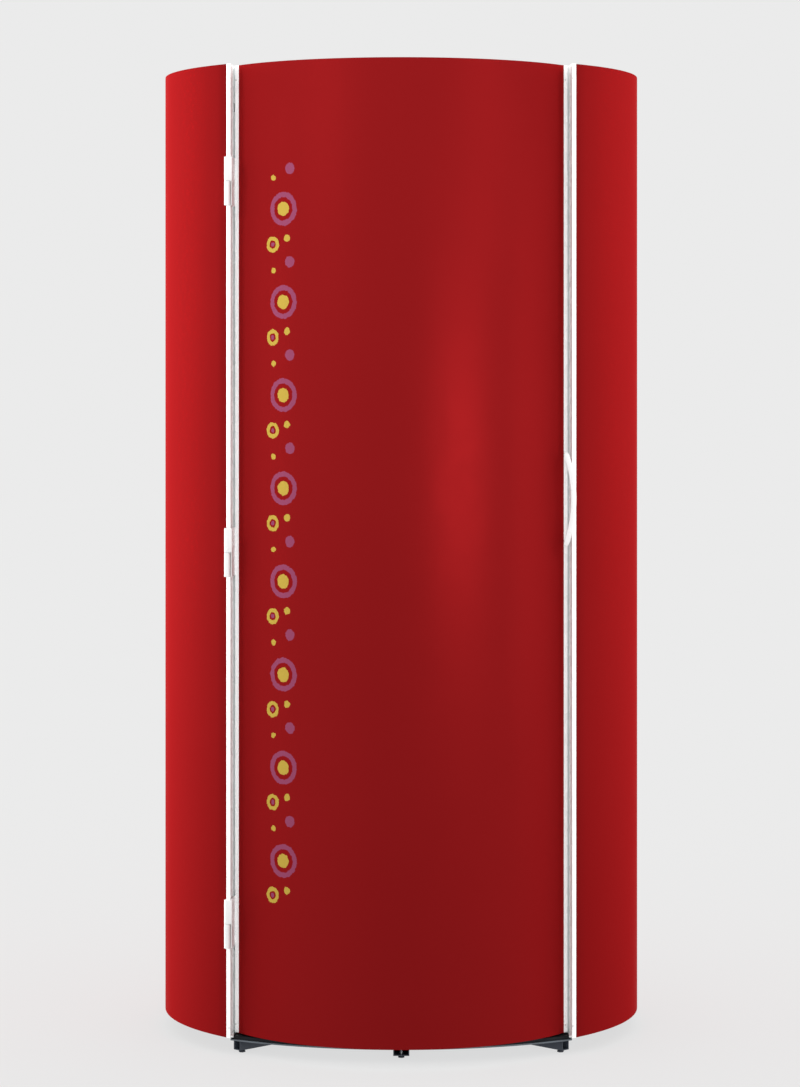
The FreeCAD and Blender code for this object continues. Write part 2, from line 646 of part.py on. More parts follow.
def fan_blade(turn, middle):
    """A flat tapered blade, pitched about its own length."""
    root, tip = FAN_HUB_DIAMETER / 2 - BLADE_ROOT, FAN_DIAMETER / 2 - BLADE_TIP_GAP
    outline = [
        VECTOR(root, -ROOT_CHORD / 2, 0),
        VECTOR(tip, -TIP_CHORD / 2, 0),
        VECTOR(tip, TIP_CHORD / 2, 0),
        VECTOR(root, ROOT_CHORD / 2, 0),
    ]
    blade = prism(outline, -BLADE_SHEET / 2, BLADE_SHEET / 2)
    blade.rotate(ORIGIN, VECTOR(1, 0, 0), BLADE_PITCH)
    blade.rotate(ORIGIN, UP, turn)
    blade.translate(UP * middle)
    return blade


def fan_impeller(x):
    """A hub with pitched blades, bored from below for the motor's axle."""
    low = FAN_FLOOR + FAN_MOTOR_HEIGHT + FAN_HUB_GAP
    hub = many_sided(FAN_HUB_DIAMETER / 2, low, low + FAN_HUB_HEIGHT, sides=ROUND_SIDES)
    blades = [fan_blade(360 * i / FAN_BLADES, low + FAN_HUB_HEIGHT / 2) for i in range(FAN_BLADES)]
    bore = disc(FAN_AXLE_DIAMETER / 2 + FAN_AXLE_CLEARANCE, low, low + FAN_HUB_HEIGHT - FAN_WALL)
    wheel = hub.multiFuse(blades).cut(bore)
    wheel.translate(VECTOR(x, FAN_Y, 0))
    return wheel


def fan_guard(x):
    """A flat barred grille over one fan's opening in the roof."""
    low = ROOF_Z + ROOF_SHEET
    high = low + GUARD_HEIGHT
    spot = VECTOR(x, FAN_Y, 0)
    inner = FAN_DIAMETER / 2
    rim = square(inner + GUARD_RIM, low, high, spot).cut(square(inner, low, high, spot))
    ends = (FAN_Y - inner - GUARD_BAR, FAN_Y + inner + GUARD_BAR)
    columns = [x + (i - (GUARD_BARS - 1) / 2) * FAN_DIAMETER / GUARD_BARS for i in range(GUARD_BARS)]
    bars = [upright_box(GUARD_BAR / 2, *ends, low, high, column) for column in columns]
    return rim.multiFuse(bars).removeSplitter()


# ---- electrical gear
def gear_tray():
    return block(TRAY_WIDTH, TRAY_SHEET, ROOF_Z - PAN_TOP, PAN_TOP, RAIL_OUTER + TRAY_SHEET / 2, 180)


def ballasts():
    """As many ballasts as fit on the tray below the roof."""
    radius = RAIL_OUTER + TRAY_SHEET + BALLAST_DEPTH / 2
    low = PAN_TOP + BALLAST_RISE
    count = int((ROOF_Z - low) / BALLAST_PITCH)
    levels = [low + i * BALLAST_PITCH for i in range(count)]
    return group([block(BALLAST_WIDTH, BALLAST_DEPTH, BALLAST_LENGTH, level, radius, 180) for level in levels])


# ---- console inside the cabin
CONSOLE_BACK = math.sqrt(RAIL_INNER ** 2 - (CONSOLE_WIDTH / 2) ** 2)
CONSOLE_FRONT = CONSOLE_BACK - CONSOLE_DEPTH
CONSOLE_TOP = CONSOLE_BOTTOM + CONSOLE_HEIGHT
BUTTON_FRONT = CONSOLE_FRONT - BUTTON_REST


def lens_plate():
    low = CONSOLE_TOP - LENS_BELOW_TOP - LENS_HEIGHT
    return upright_box(LENS_WIDTH / 2, CONSOLE_FRONT, CONSOLE_FRONT + LENS_SHEET, low, low + LENS_HEIGHT)


def button_block(name, margin, back):
    """A square key, or with a margin and a deeper back the well that it slides in."""
    half = BUTTON_SIZE / 2 + margin
    middle = CONSOLE_BOTTOM + BUTTON_RISE
    return upright_box(half, BUTTON_FRONT, back, middle - half, middle + half, BUTTON_COLUMNS[name] * BUTTON_PITCH)


def button(name):
    return button_block(name, 0, BUTTON_FRONT + BUTTON_HEIGHT)


def control_console():
    body = upright_box(CONSOLE_WIDTH / 2, CONSOLE_FRONT, CONSOLE_BACK, CONSOLE_BOTTOM, CONSOLE_TOP)
    deep = BUTTON_FRONT + BUTTON_HEIGHT + BUTTON_TRAVEL + BUTTON_CLEARANCE
    wells = [button_block(name, BUTTON_CLEARANCE, deep) for name in BUTTON_COLUMNS]
    return body.cut(group(wells + [lens_plate()]))


# ---- door
def door_skin():
    ends = (-DOOR_PANEL_END, DOOR_PANEL_END)
    return sector(DOOR_RADIUS - SHEET, DOOR_RADIUS, *ends, BODY_BOTTOM, BODY_TOP, DOOR_CENTRE_Y)


def right_stile():
    """The hollow upright along the latch side of the door."""
    wall = turned(STILE_WALL, DOOR_RADIUS)
    ends = (DOOR_PANEL_END, DOOR_HALF_ANGLE)
    core_ends = (DOOR_PANEL_END + wall, DOOR_HALF_ANGLE - wall)
    inner, outer = DOOR_INNER_RADIUS, DOOR_RADIUS
    core = sector(inner + STILE_WALL, outer - STILE_WALL, *core_ends, BODY_BOTTOM, BODY_TOP, DOOR_CENTRE_Y)
    return sector(inner, outer, *ends, BODY_BOTTOM, BODY_TOP, DOOR_CENTRE_Y).cut(core)


def door_cap(low):
    """The lid between the door's lamp rail and its skin, at one end."""
    high = low + CAP_THICKNESS
    ends = (-DOOR_PANEL_END, DOOR_PANEL_END)
    lid = sector(DOOR_LAMP_RADIUS, DOOR_RADIUS - SHEET, *ends, low, high, DOOR_CENTRE_Y)
    return lid.cut(door_rail(low, high))


# ---- lift-off hinges, at the left
POST_CORNER = at(BODY_RADIUS, -POST_ANGLE)
HINGE_AXIS = POST_CORNER - VECTOR(HINGE_OUT, HINGE_FORWARD, 0)
HINGE_HIGHEST = BODY_TOP - HINGE_BELOW_TOP - HINGE_LENGTH
HINGE_LEVELS = spread(HINGE_LOWEST, HINGE_HIGHEST, HINGE_COUNT)


def leaf_plan():
    """Front and rear end of the door leaf's face, parallel to the post's flank."""
    slope = (-TOE.x - POST_CORNER.x) / (TOE.y - POST_CORNER.y)
    near = POST_CORNER + VECTOR(LEAF_TO_POST - slope * LEAF_BEND, -LEAF_BEND, 0)
    depth = TOE.y - LEAF_END - near.y
    return near, near + VECTOR(slope * depth, depth, 0)


def door_leaf(low, middle, high):
    """One door half: a leaf on the stile, and above the middle a lug and a barrel that turns on the pin."""
    near, far = leaf_plan()
    across = VECTOR(LEAF_SHEET, 0, 0)
    barrel = BARREL_DIAMETER / 2
    left, front = HINGE_AXIS.x, HINGE_AXIS.y - barrel
    lug = [
        VECTOR(left, front, 0),
        VECTOR(near.x + LEAF_SHEET, front, 0),
        near + across,
        near,
        VECTOR(near.x, front + LUG_WIDTH - LEAF_BEND, 0),
        VECTOR(left, front + LUG_WIDTH - LEAF_BEND, 0),
    ]
    pieces = [prism(lug, middle, high), many_sided(barrel, middle, high, HINGE_AXIS)]
    leaf = prism([near, near + across, far + across, far], low, high).multiFuse(pieces)
    bore = disc(PIN_DIAMETER / 2 + PIN_CLEARANCE, low, high - PIN_END_WALL, HINGE_AXIS)
    return leaf.cut(mirrored(right_stile())).cut(bore)


def door_hinge_leaves():
    half = HINGE_LENGTH / 2 + BARREL_GAP
    return group([door_leaf(level, level + half, level + HINGE_LENGTH) for level in HINGE_LEVELS])


def body_hinge_halves():
    """The casing's halves: a lower barrel with a lug on the hinge post."""
    post = mirrored(prism(post_outline(), 0, BODY_TOP))
    lug_x = HINGE_AXIS.x + LUG_OFFSET
    halves = []
    for level in HINGE_LEVELS:
        middle = level + HINGE_LENGTH / 2
        lug = upright_box(LUG_WIDTH / 2, HINGE_AXIS.y, HINGE_AXIS.y + LUG_REACH, level, middle, lug_x)
        bore = many_sided(PIN_DIAMETER / 2, level, middle, HINGE_AXIS)
        barrel = many_sided(BARREL_DIAMETER / 2, level, middle, HINGE_AXIS)
        halves.append(barrel.fuse(lug).cut(post).cut(bore))
    return group(halves)


def hinge_pins():
    rise = HINGE_LENGTH / 2 + PIN_RISE
    return group([many_sided(PIN_DIAMETER / 2, level, level + rise, HINGE_AXIS) for level in HINGE_LEVELS])


# ---- handles, catch and the screw
HANDLE_X = DOOR_HALF_WIDTH - HANDLE_INSET
HANDLE_BACK_Y = POST_CORNER.y - HANDLE_TO_POST
HANDLE_FRONT_Y = HANDLE_BACK_Y - HANDLE_THICKNESS
HANDLE_ENDS = (HANDLE_BOTTOM + HANDLE_WIDTH / 2, HANDLE_BOTTOM + HANDLE_LENGTH - HANDLE_WIDTH / 2)
HANDLE_MIDDLE = sum(HANDLE_ENDS) / 2


def handle_arc(offset):
    """Start, middle and end of one edge of the bow, in the plane x-z."""
    half = HANDLE_ENDS[1] - HANDLE_MIDDLE
    radius = (half ** 2 + HANDLE_BOW ** 2) / (2 * HANDLE_BOW)
    centre = VECTOR(HANDLE_X + HANDLE_BOW - radius, HANDLE_FRONT_Y, HANDLE_MIDDLE)
    turn = math.asin(half / radius)
    reach = radius + offset
    return [centre + VECTOR(reach * math.cos(a), 0, reach * math.sin(a)) for a in (-turn, 0.0, turn)]


def door_handle():
    """A flat bow with round ends on two standoffs that seat on the door."""
    inner, outer = handle_arc(-HANDLE_WIDTH / 2), handle_arc(HANDLE_WIDTH / 2)
    tips = [VECTOR(HANDLE_X, HANDLE_FRONT_Y, HANDLE_MIDDLE + side * HANDLE_LENGTH / 2) for side in (-1, 1)]
    outline = Part.Wire([
        Part.Arc(*outer).toShape(),
        Part.Arc(outer[2], tips[1], inner[2]).toShape(),
        Part.Arc(*reversed(inner)).toShape(),
        Part.Arc(inner[0], tips[0], outer[0]).toShape(),
    ])
    bow = Part.Face(outline).extrude(VECTOR(0, HANDLE_THICKNESS, 0))
    seat_y = DOOR_CENTRE_Y - math.sqrt(DOOR_RADIUS ** 2 - HANDLE_X ** 2) + STANDOFF_DIAMETER
    starts = [VECTOR(HANDLE_X, HANDLE_BACK_Y - STANDOFF_SINK, z) for z in HANDLE_ENDS]
    standoffs = [bar(start, VECTOR(HANDLE_X, seat_y, start.z), STANDOFF_DIAMETER) for start in starts]
    door = disc(DOOR_RADIUS, BODY_BOTTOM, BODY_TOP, VECTOR(0, DOOR_CENTRE_Y, 0))
    return bow.multiFuse([standoff.cut(door) for standoff in standoffs])


def inner_grip():
    """A D grip on the latch stile's inner face."""
    angle = (DOOR_PANEL_END + DOOR_HALF_ANGLE) / 2
    heights = (HANDLE_MIDDLE - GRIP_LENGTH / 2, HANDLE_MIDDLE + GRIP_LENGTH / 2)
    seats = [at(DOOR_INNER_RADIUS + GRIP_DIAMETER / 2, angle, z, DOOR_CENTRE_Y) for z in heights]
    elbows = [at(DOOR_INNER_RADIUS - GRIP_REACH, angle, z, DOOR_CENTRE_Y) for z in heights]
    legs = [bar(seat, elbow, GRIP_DIAMETER) for seat, elbow in zip(seats, elbows)]
    overhang = UP * GRIP_DIAMETER
    grip = bar(elbows[0] - overhang, elbows[1] + overhang, GRIP_DIAMETER).multiFuse(legs)
    return grip.cut(sector(DOOR_INNER_RADIUS, DOOR_RADIUS, 0, 90, BODY_BOTTOM, BODY_TOP, DOOR_CENTRE_Y))


def catch_strip(front, back):
    near = DOOR_RADIUS - CATCH_SETBACK
    top = CATCH_BOTTOM + CATCH_HEIGHT
    return strip_beside_door(near, near + CATCH_WIDTH, front, back, CATCH_BOTTOM, top)


def post_screw():
    """The round-headed screw low on the hinge post's front bar."""
    angle = -(POST_ANGLE + FACE_ANGLE) / 2
    z = BODY_BOTTOM + SCREW_ABOVE_EDGE
    head = bar(at(CASING_INNER, angle, z), at(BODY_RADIUS + SCREW_HEIGHT, angle, z), SCREW_DIAMETER)
    return head.cut(mirrored(prism(post_outline(), 0, BODY_TOP)))


def casing_nodes():
    """Every node of the fixed casing and base, by name."""
    return {
        "base_frame": base_frame(),
        "levelling_feet": levelling_feet(),
        "base_plate": floor_sheet(0, ARM_TOP, PAN_Z),
        "floor_pan": floor_sheet(PAN_SETBACK, PAN_Z, PAN_TOP),
        "floor_mat": floor_mat(),
        "cable_gland": cable_gland(),
        "terminal_block": terminal_block(),
        "contactor_box": contactor_box(),
        "latch_post": right_post(),
        "hinge_post": mirrored(right_post()),
        "jamb_seals": group([jamb_seal(), mirrored(jamb_seal())]),
        "rear_post_right": rear_post(REAR_POST_ANGLE),
        "rear_post_left": rear_post(360 - REAR_POST_ANGLE),
        "side_panel_right": casing_sheet(FACE_ANGLE, REAR_POST_ANGLE),
        "side_panel_left": mirrored(casing_sheet(FACE_ANGLE, REAR_POST_ANGLE)),
        "back_panel": back_panel(),
        "roof_panel": roof_panel(),
        "lower_lamp_rail": body_rail(PAN_TOP, RAIL_LOW_TOP),
        "upper_lamp_rail": body_rail(RAIL_HIGH_BOTTOM, ROOF_Z),
        "body_reflector": BODY_SET.reflector(),
        "body_lamps": BODY_SET.lamps(),
        "body_lampholders": BODY_SET.holders(),
        "body_shield": body_shield(),
        "ceiling_panel": ceiling_panel(),
        "ceiling_grab_rail": ceiling_grab_rail(),
        "gear_tray": gear_tray(),
        "ballasts": ballasts(),
        "control_console": control_console(),
        "display_lens": lens_plate(),
        "magnetic_catch": catch_strip(STRIKE_SHEET + CATCH_GAP, JAMB_GAP),
        "body_hinge_halves": body_hinge_halves(),
        "hinge_pins": hinge_pins(),
        "hinge_post_screw": post_screw(),
        "fan_guards": group([fan_guard(x) for x in FAN_COLUMNS.values()]),
    }


def moving_nodes():
    """Every node of the door, by name, and then the fans and the buttons."""
    nodes = {
        "door_skin": door_skin(),
        "door_latch_stile": right_stile(),
        "door_hinge_stile": mirrored(right_stile()),
        "door_top_cap": door_cap(BODY_TOP - CAP_THICKNESS),
        "door_bottom_cap": door_cap(BODY_BOTTOM),
        "door_lower_lamp_rail": door_rail(BODY_BOTTOM, RAIL_LOW_TOP),
        "door_upper_lamp_rail": door_rail(RAIL_HIGH_BOTTOM, BODY_TOP),
        "door_reflector": DOOR_SET.reflector(),
        "door_lamps": DOOR_SET.lamps(),
        "door_lampholders": DOOR_SET.holders(),
        "door_shield": door_shield(),
        "door_hinge_leaves": door_hinge_leaves(),
        "door_handle": door_handle(),
        "inner_grip": inner_grip(),
        "strike_plate": catch_strip(0, STRIKE_SHEET),
    }
    for side, x in FAN_COLUMNS.items():
        nodes["fan_frame_" + side] = fan_frame(x)
        nodes["fan_impeller_" + side] = fan_impeller(x)
    for name in BUTTON_COLUMNS:
        nodes[name + "_button"] = button(name)
    return nodes


def main():
    os.makedirs("parts", exist_ok=True)
    for name, shape in {**casing_nodes(), **moving_nodes()}.items():
        shape.exportStep("parts/" + name + ".step")
        print(name, len(shape.Solids), round(shape.Volume), shape.isValid())


if __name__ == "__main__":
    main()
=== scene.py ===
# %% [markdown]
# # A stand-up tanning booth, dressed for its portrait
# The booth is a round, red-lacquered steel cabin. Its door is a tighter curve that hangs on three
# lift-off hinges between two white posts. The construction arrives finished and at its real size, so this
# lesson gives each piece rounded edges, smooth curves and a believable finish, and adds the small things
# that catch the eye.

# %% Load the frame and note its size
import json
import math
import bpy
from mathutils import Matrix, Vector


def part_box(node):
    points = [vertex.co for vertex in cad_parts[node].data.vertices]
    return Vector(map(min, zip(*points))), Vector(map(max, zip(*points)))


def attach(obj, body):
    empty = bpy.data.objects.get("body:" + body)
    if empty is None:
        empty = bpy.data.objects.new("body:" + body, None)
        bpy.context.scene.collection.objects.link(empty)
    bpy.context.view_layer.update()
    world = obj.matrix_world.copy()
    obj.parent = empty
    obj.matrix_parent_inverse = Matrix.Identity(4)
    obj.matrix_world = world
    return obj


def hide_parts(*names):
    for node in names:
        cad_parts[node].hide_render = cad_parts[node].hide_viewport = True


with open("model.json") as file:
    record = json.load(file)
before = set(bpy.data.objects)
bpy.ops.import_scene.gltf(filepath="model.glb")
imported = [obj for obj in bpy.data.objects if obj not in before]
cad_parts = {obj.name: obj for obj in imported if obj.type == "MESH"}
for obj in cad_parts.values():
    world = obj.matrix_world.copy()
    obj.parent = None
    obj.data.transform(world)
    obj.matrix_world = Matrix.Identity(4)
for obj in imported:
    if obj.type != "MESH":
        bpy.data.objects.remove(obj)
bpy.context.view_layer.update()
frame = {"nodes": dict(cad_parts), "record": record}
body_of = {node: body for body, nodes in frame["record"]["behaviour"]["bodies"].items() for node in nodes}

# %% [markdown]
# The main sizes are read from the pieces themselves, so nothing here has to be measured twice. The cabin
# is round about the origin. The door is round about a point in front of it. Its radius is typed here,
# because no piece's box tells it.

# %% Read the main sizes
DOOR_RADIUS = 0.406
cabin_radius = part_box("side_panel_right")[1].x
door_centre_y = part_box("door_skin")[0].y + DOOR_RADIUS
print("cabin radius", round(cabin_radius, 3), "door centre y", round(door_centre_y, 3))

# %% [markdown]
# Operators act on whatever is selected, and loading leaves every node selected. One small helper selects
# a single object, and another one works in edit mode on all of its faces, so that no later step can reach
# a piece that it isn't meant for.

# %% Selection helpers
def select_only(piece):
    bpy.ops.object.select_all(action="DESELECT")
    piece.select_set(True)
    bpy.context.view_layer.objects.active = piece


def edit_all(piece):
    select_only(piece)
    bpy.ops.object.mode_set(mode="EDIT")
    bpy.ops.mesh.select_mode(type="VERT")
    bpy.ops.mesh.select_all(action="SELECT")


def leave_edit():
    bpy.ops.object.mode_set(mode="OBJECT")


def apply_all(piece):
    select_only(piece)
    for modifier in list(piece.modifiers):
        bpy.ops.object.modifier_apply(modifier=modifier.name)


def place_in_mesh(piece):
    select_only(piece)
    bpy.ops.object.transform_apply(location=True, rotation=True, scale=True)


bpy.ops.object.select_all(action="DESELECT")
print("helpers ready")

# %% [markdown]
# ## Finishes
# A painted or moulded surface is never one flat colour. Spray leaves a faint orange peel, dust and hands
# change the gloss from place to place, and plastic has a fine grain. One recipe makes them all: a slow
# noise shifts the colour a little, a second noise shifts the roughness, and a fine one feeds a bump.
# Values that are the same all over go straight onto the shader. A finish is then one row of a table: its
# light and its dark tone, the range of its roughness, the scale of its patches, the scale and depth of
# its grain and, where they differ from a plain coat's, how metallic and how shiny it is. The frame brings
# plain materials, some of the same names, so the finishes are kept and looked up in a dictionary.

# %% A recipe for coats and mouldings
def noise(tree, position, scale, detail=3.0, roughness=0.5):
    node = tree.nodes.new("ShaderNodeTexNoise")
    node.inputs["Scale"].default_value = scale
    node.inputs["Detail"].default_value = detail
    node.inputs["Roughness"].default_value = roughness
    tree.links.new(position, node.inputs["Vector"])
    return node.outputs["Fac"]


def map_range(tree, value, low, high, start=0.3, finish=0.7):
    node = tree.nodes.new("ShaderNodeMapRange")
    node.inputs["From Min"].default_value = start
    node.inputs["From Max"].default_value = finish
    node.inputs["To Min"].default_value = low
    node.inputs["To Max"].default_value = high
    tree.links.new(value, node.inputs["Value"])
    return node.outputs["Result"]


def mix_colour(tree, factor, first, second):
    node = tree.nodes.new("ShaderNodeMix")
    node.data_type = "RGBA"
    for name, value in (("A", first), ("B", second)):
        socket = [s for s in node.inputs if s.name == name and s.type == "RGBA"][0]
        if isinstance(value, tuple):
            socket.default_value = (*value, 1.0)
        else:
            tree.links.new(value, socket)
    tree.links.new(factor, node.inputs["Factor"])
    return [s for s in node.outputs if s.type == "RGBA"][0]


BUMP_STRENGTH = 0.25
GLOSS_TO_COLOUR_SCALE = 7
finishes = {}


def finish_of(name, light, dark, gloss, patch, grain, depth, metal=0.0, shine=0.5):
    """A material whose colour drifts between two tones and whose roughness drifts between two values."""
    material = bpy.data.materials.new(name)
    material.use_nodes = True
    tree = material.node_tree
    shader = tree.nodes["Principled BSDF"]
    position = tree.nodes.new("ShaderNodeTexCoord").outputs["Object"]
    tree.links.new(mix_colour(tree, noise(tree, position, patch), light, dark), shader.inputs["Base Color"])
    roughness = map_range(tree, noise(tree, position, patch * GLOSS_TO_COLOUR_SCALE), *gloss)
    tree.links.new(roughness, shader.inputs["Roughness"])
    bump = tree.nodes.new("ShaderNodeBump")
    bump.inputs["Strength"].default_value = BUMP_STRENGTH
    bump.inputs["Distance"].default_value = depth
    tree.links.new(noise(tree, position, grain, 2.0), bump.inputs["Height"])
    tree.links.new(bump.outputs["Normal"], shader.inputs["Normal"])
    shader.inputs["Metallic"].default_value = metal
    shader.inputs["Specular IOR Level"].default_value = shine
    finishes[name] = material
    return material


RECIPES = {
    "white_enamel": ((0.93, 0.93, 0.93), (0.88, 0.88, 0.875), (0.22, 0.34), 5.0, 500, 0.0003),
    "inner_enamel": ((0.74, 0.75, 0.75), (0.68, 0.69, 0.69), (0.30, 0.42), 5.0, 500, 0.0003),
    "grey_enamel": ((0.42, 0.43, 0.44), (0.36, 0.37, 0.38), (0.4, 0.55), 6.0, 600, 0.0003),
    "screw_enamel": ((0.62, 0.62, 0.61), (0.52, 0.52, 0.51), (0.3, 0.45), 60.0, 900, 0.0002),
    "frame_enamel": ((0.035, 0.045, 0.065), (0.022, 0.030, 0.045), (0.35, 0.55), 9.0, 700, 0.0004),
    "plate_enamel": ((0.13, 0.155, 0.18), (0.10, 0.12, 0.14), (0.35, 0.5), 9.0, 700, 0.0004),
    "pan_black": ((0.006, 0.007, 0.009), (0.010, 0.011, 0.014), (0.5, 0.7), 9.0, 700, 0.0004, 0.0, 0.2),
    "black_plastic": ((0.018, 0.018, 0.019), (0.03, 0.03, 0.031), (0.4, 0.55), 12.0, 1500, 0.0003),
    "white_plastic": ((0.80, 0.80, 0.78), (0.74, 0.74, 0.71), (0.35, 0.5), 12.0, 1500, 0.0002),
    "pale_grey_plastic": ((0.50, 0.51, 0.52), (0.44, 0.45, 0.46), (0.35, 0.5), 14.0, 1500, 0.0002),
    "green_plastic": ((0.02, 0.32, 0.08), (0.015, 0.26, 0.06), (0.25, 0.35), 30.0, 1800, 0.0001),
    "blue_plastic": ((0.02, 0.10, 0.42), (0.015, 0.08, 0.35), (0.25, 0.35), 30.0, 1800, 0.0001),
    "red_plastic": ((0.55, 0.02, 0.02), (0.46, 0.015, 0.015), (0.25, 0.35), 30.0, 1800, 0.0001),
    "black_rubber": ((0.014, 0.014, 0.014), (0.03, 0.03, 0.03), (0.65, 0.85), 14.0, 1200, 0.0005),
    "dark_lens": ((0.006, 0.006, 0.010), (0.009, 0.009, 0.014), (0.05, 0.12), 20.0, 300, 0.00005),
    "zinc_plate": ((0.62, 0.63, 0.64), (0.48, 0.49, 0.50), (0.28, 0.45), 40.0, 900, 0.0002, 1.0),
    "blued_steel": ((0.045, 0.050, 0.062), (0.028, 0.031, 0.040), (0.25, 0.40), 40.0, 900, 0.0002, 0.7),
    "polished_steel": ((0.72, 0.72, 0.73), (0.66, 0.66, 0.67), (0.08, 0.16), 8.0, 300, 0.0001, 1.0),
    "bright_sheet": ((0.86, 0.87, 0.88), (0.78, 0.79, 0.81), (0.12, 0.22), 7.0, 300, 0.0001, 1.0),
    "galvanised": ((0.56, 0.58, 0.60), (0.42, 0.44, 0.46), (0.30, 0.48), 30.0, 500, 0.0001, 1.0),
}
for name, recipe in RECIPES.items():
    finish_of(name, *recipe)
print("plain finishes:", len(RECIPES))

# %% [markdown]
# The red lacquer is a deep colour under a thin clear coat. Its shine is tinted, so that what it mirrors
# is red as well. The door has the same red, but its copy is painted darker as painted shade, to offset the
# extra light from the door's own softboxes.

# %% Red lacquer
LACQUER_TINT = (0.6, 0.04, 0.04, 1.0)


def lacquer(name, light, dark):
    material = finish_of(name, light, dark, (0.28, 0.36), 2.2, 420, 0.0004, 0.25, 0.0)
    material.node_tree.nodes["Principled BSDF"].inputs["Specular Tint"].default_value = LACQUER_TINT
    return material


lacquer("red_lacquer", (0.245, 0.0085, 0.0095), (0.225, 0.0075, 0.0085))
# the door's copy of the cabin's red, painted about 15 % darker as painted shade for its own lamps
shaded_door_lacquer = lacquer("decorated_lacquer", (0.208, 0.0072, 0.0081), (0.191, 0.0064, 0.0072))
print("lacquers mixed")

# %% [markdown]
# The lamps stand behind clear acrylic, in front of folded bright sheets. Acrylic is a nearly invisible
# pane, so it lets the light through and keeps only a soft reflection. The lamp glass is coated inside
# with a pale powder. Dark metal caps close its ends, and since a lamp is one long piece, the caps are a
# change of colour near its two ends.

# %% Clear sheet and lamp glass
ACRYLIC_IOR, ACRYLIC_ALPHA = 1.49, 0.22
CAP_LENGTH = 0.022
CAP_GREY = (0.30, 0.30, 0.31)

acrylic = finish_of("clear_acrylic", (0.90, 0.95, 0.97), (0.86, 0.93, 0.96), (0.04, 0.10), 4.0, 200,
                    0.00005)
acrylic_shader = acrylic.node_tree.nodes["Principled BSDF"]
acrylic_shader.inputs["IOR"].default_value = ACRYLIC_IOR
acrylic_shader.inputs["Alpha"].default_value = ACRYLIC_ALPHA


def arithmetic(tree, operation, first, second=None):
    node = tree.nodes.new("ShaderNodeMath")
    node.operation = operation
    for socket, value in zip(node.inputs, (first, second)):
        if isinstance(value, (int, float)):
            socket.default_value = value
        elif value is not None:
            tree.links.new(value, socket)
    return node.outputs[0]


def lamp_finish(name, low, high):
    material = finish_of(name, (0.86, 0.88, 0.93), (0.80, 0.83, 0.90), (0.16, 0.24), 6.0, 200, 0.00005)
    tree = material.node_tree
    shader = tree.nodes["Principled BSDF"]
    split = tree.nodes.new("ShaderNodeSeparateXYZ")
    tree.links.new(tree.nodes["Texture Coordinate"].outputs["Object"], split.inputs["Vector"])
    offset = arithmetic(tree, "SUBTRACT", split.outputs["Z"], (low + high) / 2)
    away = arithmetic(tree, "ABSOLUTE", offset)
    is_cap = arithmetic(tree, "GREATER_THAN", away, (high - low) / 2 - CAP_LENGTH)
    tube_colour = shader.inputs["Base Color"].links[0].from_socket
    tree.links.new(mix_colour(tree, is_cap, tube_colour, CAP_GREY), shader.inputs["Base Color"])
    tree.links.new(is_cap, shader.inputs["Metallic"])


lamp_low, lamp_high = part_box("body_lamps")
lamp_finish("lamp_glass", lamp_low.z, lamp_high.z)
print("lamps from", round(lamp_low.z, 3), "to", round(lamp_high.z, 3))

# %% [markdown]
# ## The door's decoration
# The door carries painted colour down its hinge side, in sun yellow and a dusty purple. Here it is a
# column of rings and dots, like bubbles rising, that repeats eight times. It is laid out on the unrolled
# door: across it counts the arc from the door's middle, and up it counts height. The height's fraction of
# one repeat places each motif, a ring is where the distance from its centre lies near one value, and a
# fine noise makes the edge look brushed.

# %% Paint the bubbles into the lacquer
def unrolled(tree, position):
    """Arc length across the door from its middle, and height."""
    split = tree.nodes.new("ShaderNodeSeparateXYZ")
    tree.links.new(position, split.inputs["Vector"])
    ahead = arithmetic(tree, "SUBTRACT", door_centre_y, split.outputs["Y"])
    angle = arithmetic(tree, "ARCTAN2", split.outputs["X"], ahead)
    return arithmetic(tree, "MULTIPLY", angle, DOOR_RADIUS), split.outputs["Z"]


def within(tree, value, low, high):
    return arithmetic(tree, "MULTIPLY", arithmetic(tree, "GREATER_THAN", value, low),
                      arithmetic(tree, "LESS_THAN", value, high))


BAND_MIDDLE = -0.262
BAND_LOW, BAND_HIGH = 0.315, 1.835
MOTIFS = 8
PERIOD = (BAND_HIGH - BAND_LOW) / MOTIFS
YELLOW = (0.40, 0.28, 0.048)
PURPLE = (0.222, 0.049, 0.099)


def painted_spot(tree, across, height, brush, aside, share, ring_radius, ring_width):
    """A mask of one ring or dot in each repeat, at a share of its height, aside from the middle."""
    repeats = arithmetic(tree, "DIVIDE", arithmetic(tree, "SUBTRACT", height, BAND_LOW), PERIOD)
    above = arithmetic(tree, "SUBTRACT", arithmetic(tree, "FRACT", repeats), share)
    up = arithmetic(tree, "MULTIPLY", above, PERIOD)
    side = arithmetic(tree, "SUBTRACT", across, BAND_MIDDLE + aside)
    squares = [arithmetic(tree, "POWER", arithmetic(tree, "ABSOLUTE", leg), 2.0) for leg in (up, side)]
    distance = arithmetic(tree, "SQRT", arithmetic(tree, "ADD", *squares))
    distance = arithmetic(tree, "ADD", distance, brush)
    from_ring = arithmetic(tree, "ABSOLUTE", arithmetic(tree, "SUBTRACT", distance, ring_radius))
    return arithmetic(tree, "LESS_THAN", from_ring, ring_width / 2)


BRUSH_SCALE, BRUSH_RAGGED = 150, 0.0016

# paint, aside from the column's middle, share of the repeat's height, ring radius, ring width
SPOTS = [
    (PURPLE, 0.004, 0.50, 0.0290, 0.0105),
    (YELLOW, 0.004, 0.50, 0.0000, 0.0290),
    (YELLOW, -0.024, 0.12, 0.0125, 0.0080),
    (PURPLE, -0.024, 0.12, 0.0000, 0.0090),
    (PURPLE, 0.021, 0.93, 0.0000, 0.0230),
    (YELLOW, 0.014, 0.185, 0.0000, 0.0150),
    (YELLOW, -0.022, 0.84, 0.0000, 0.0120),
]


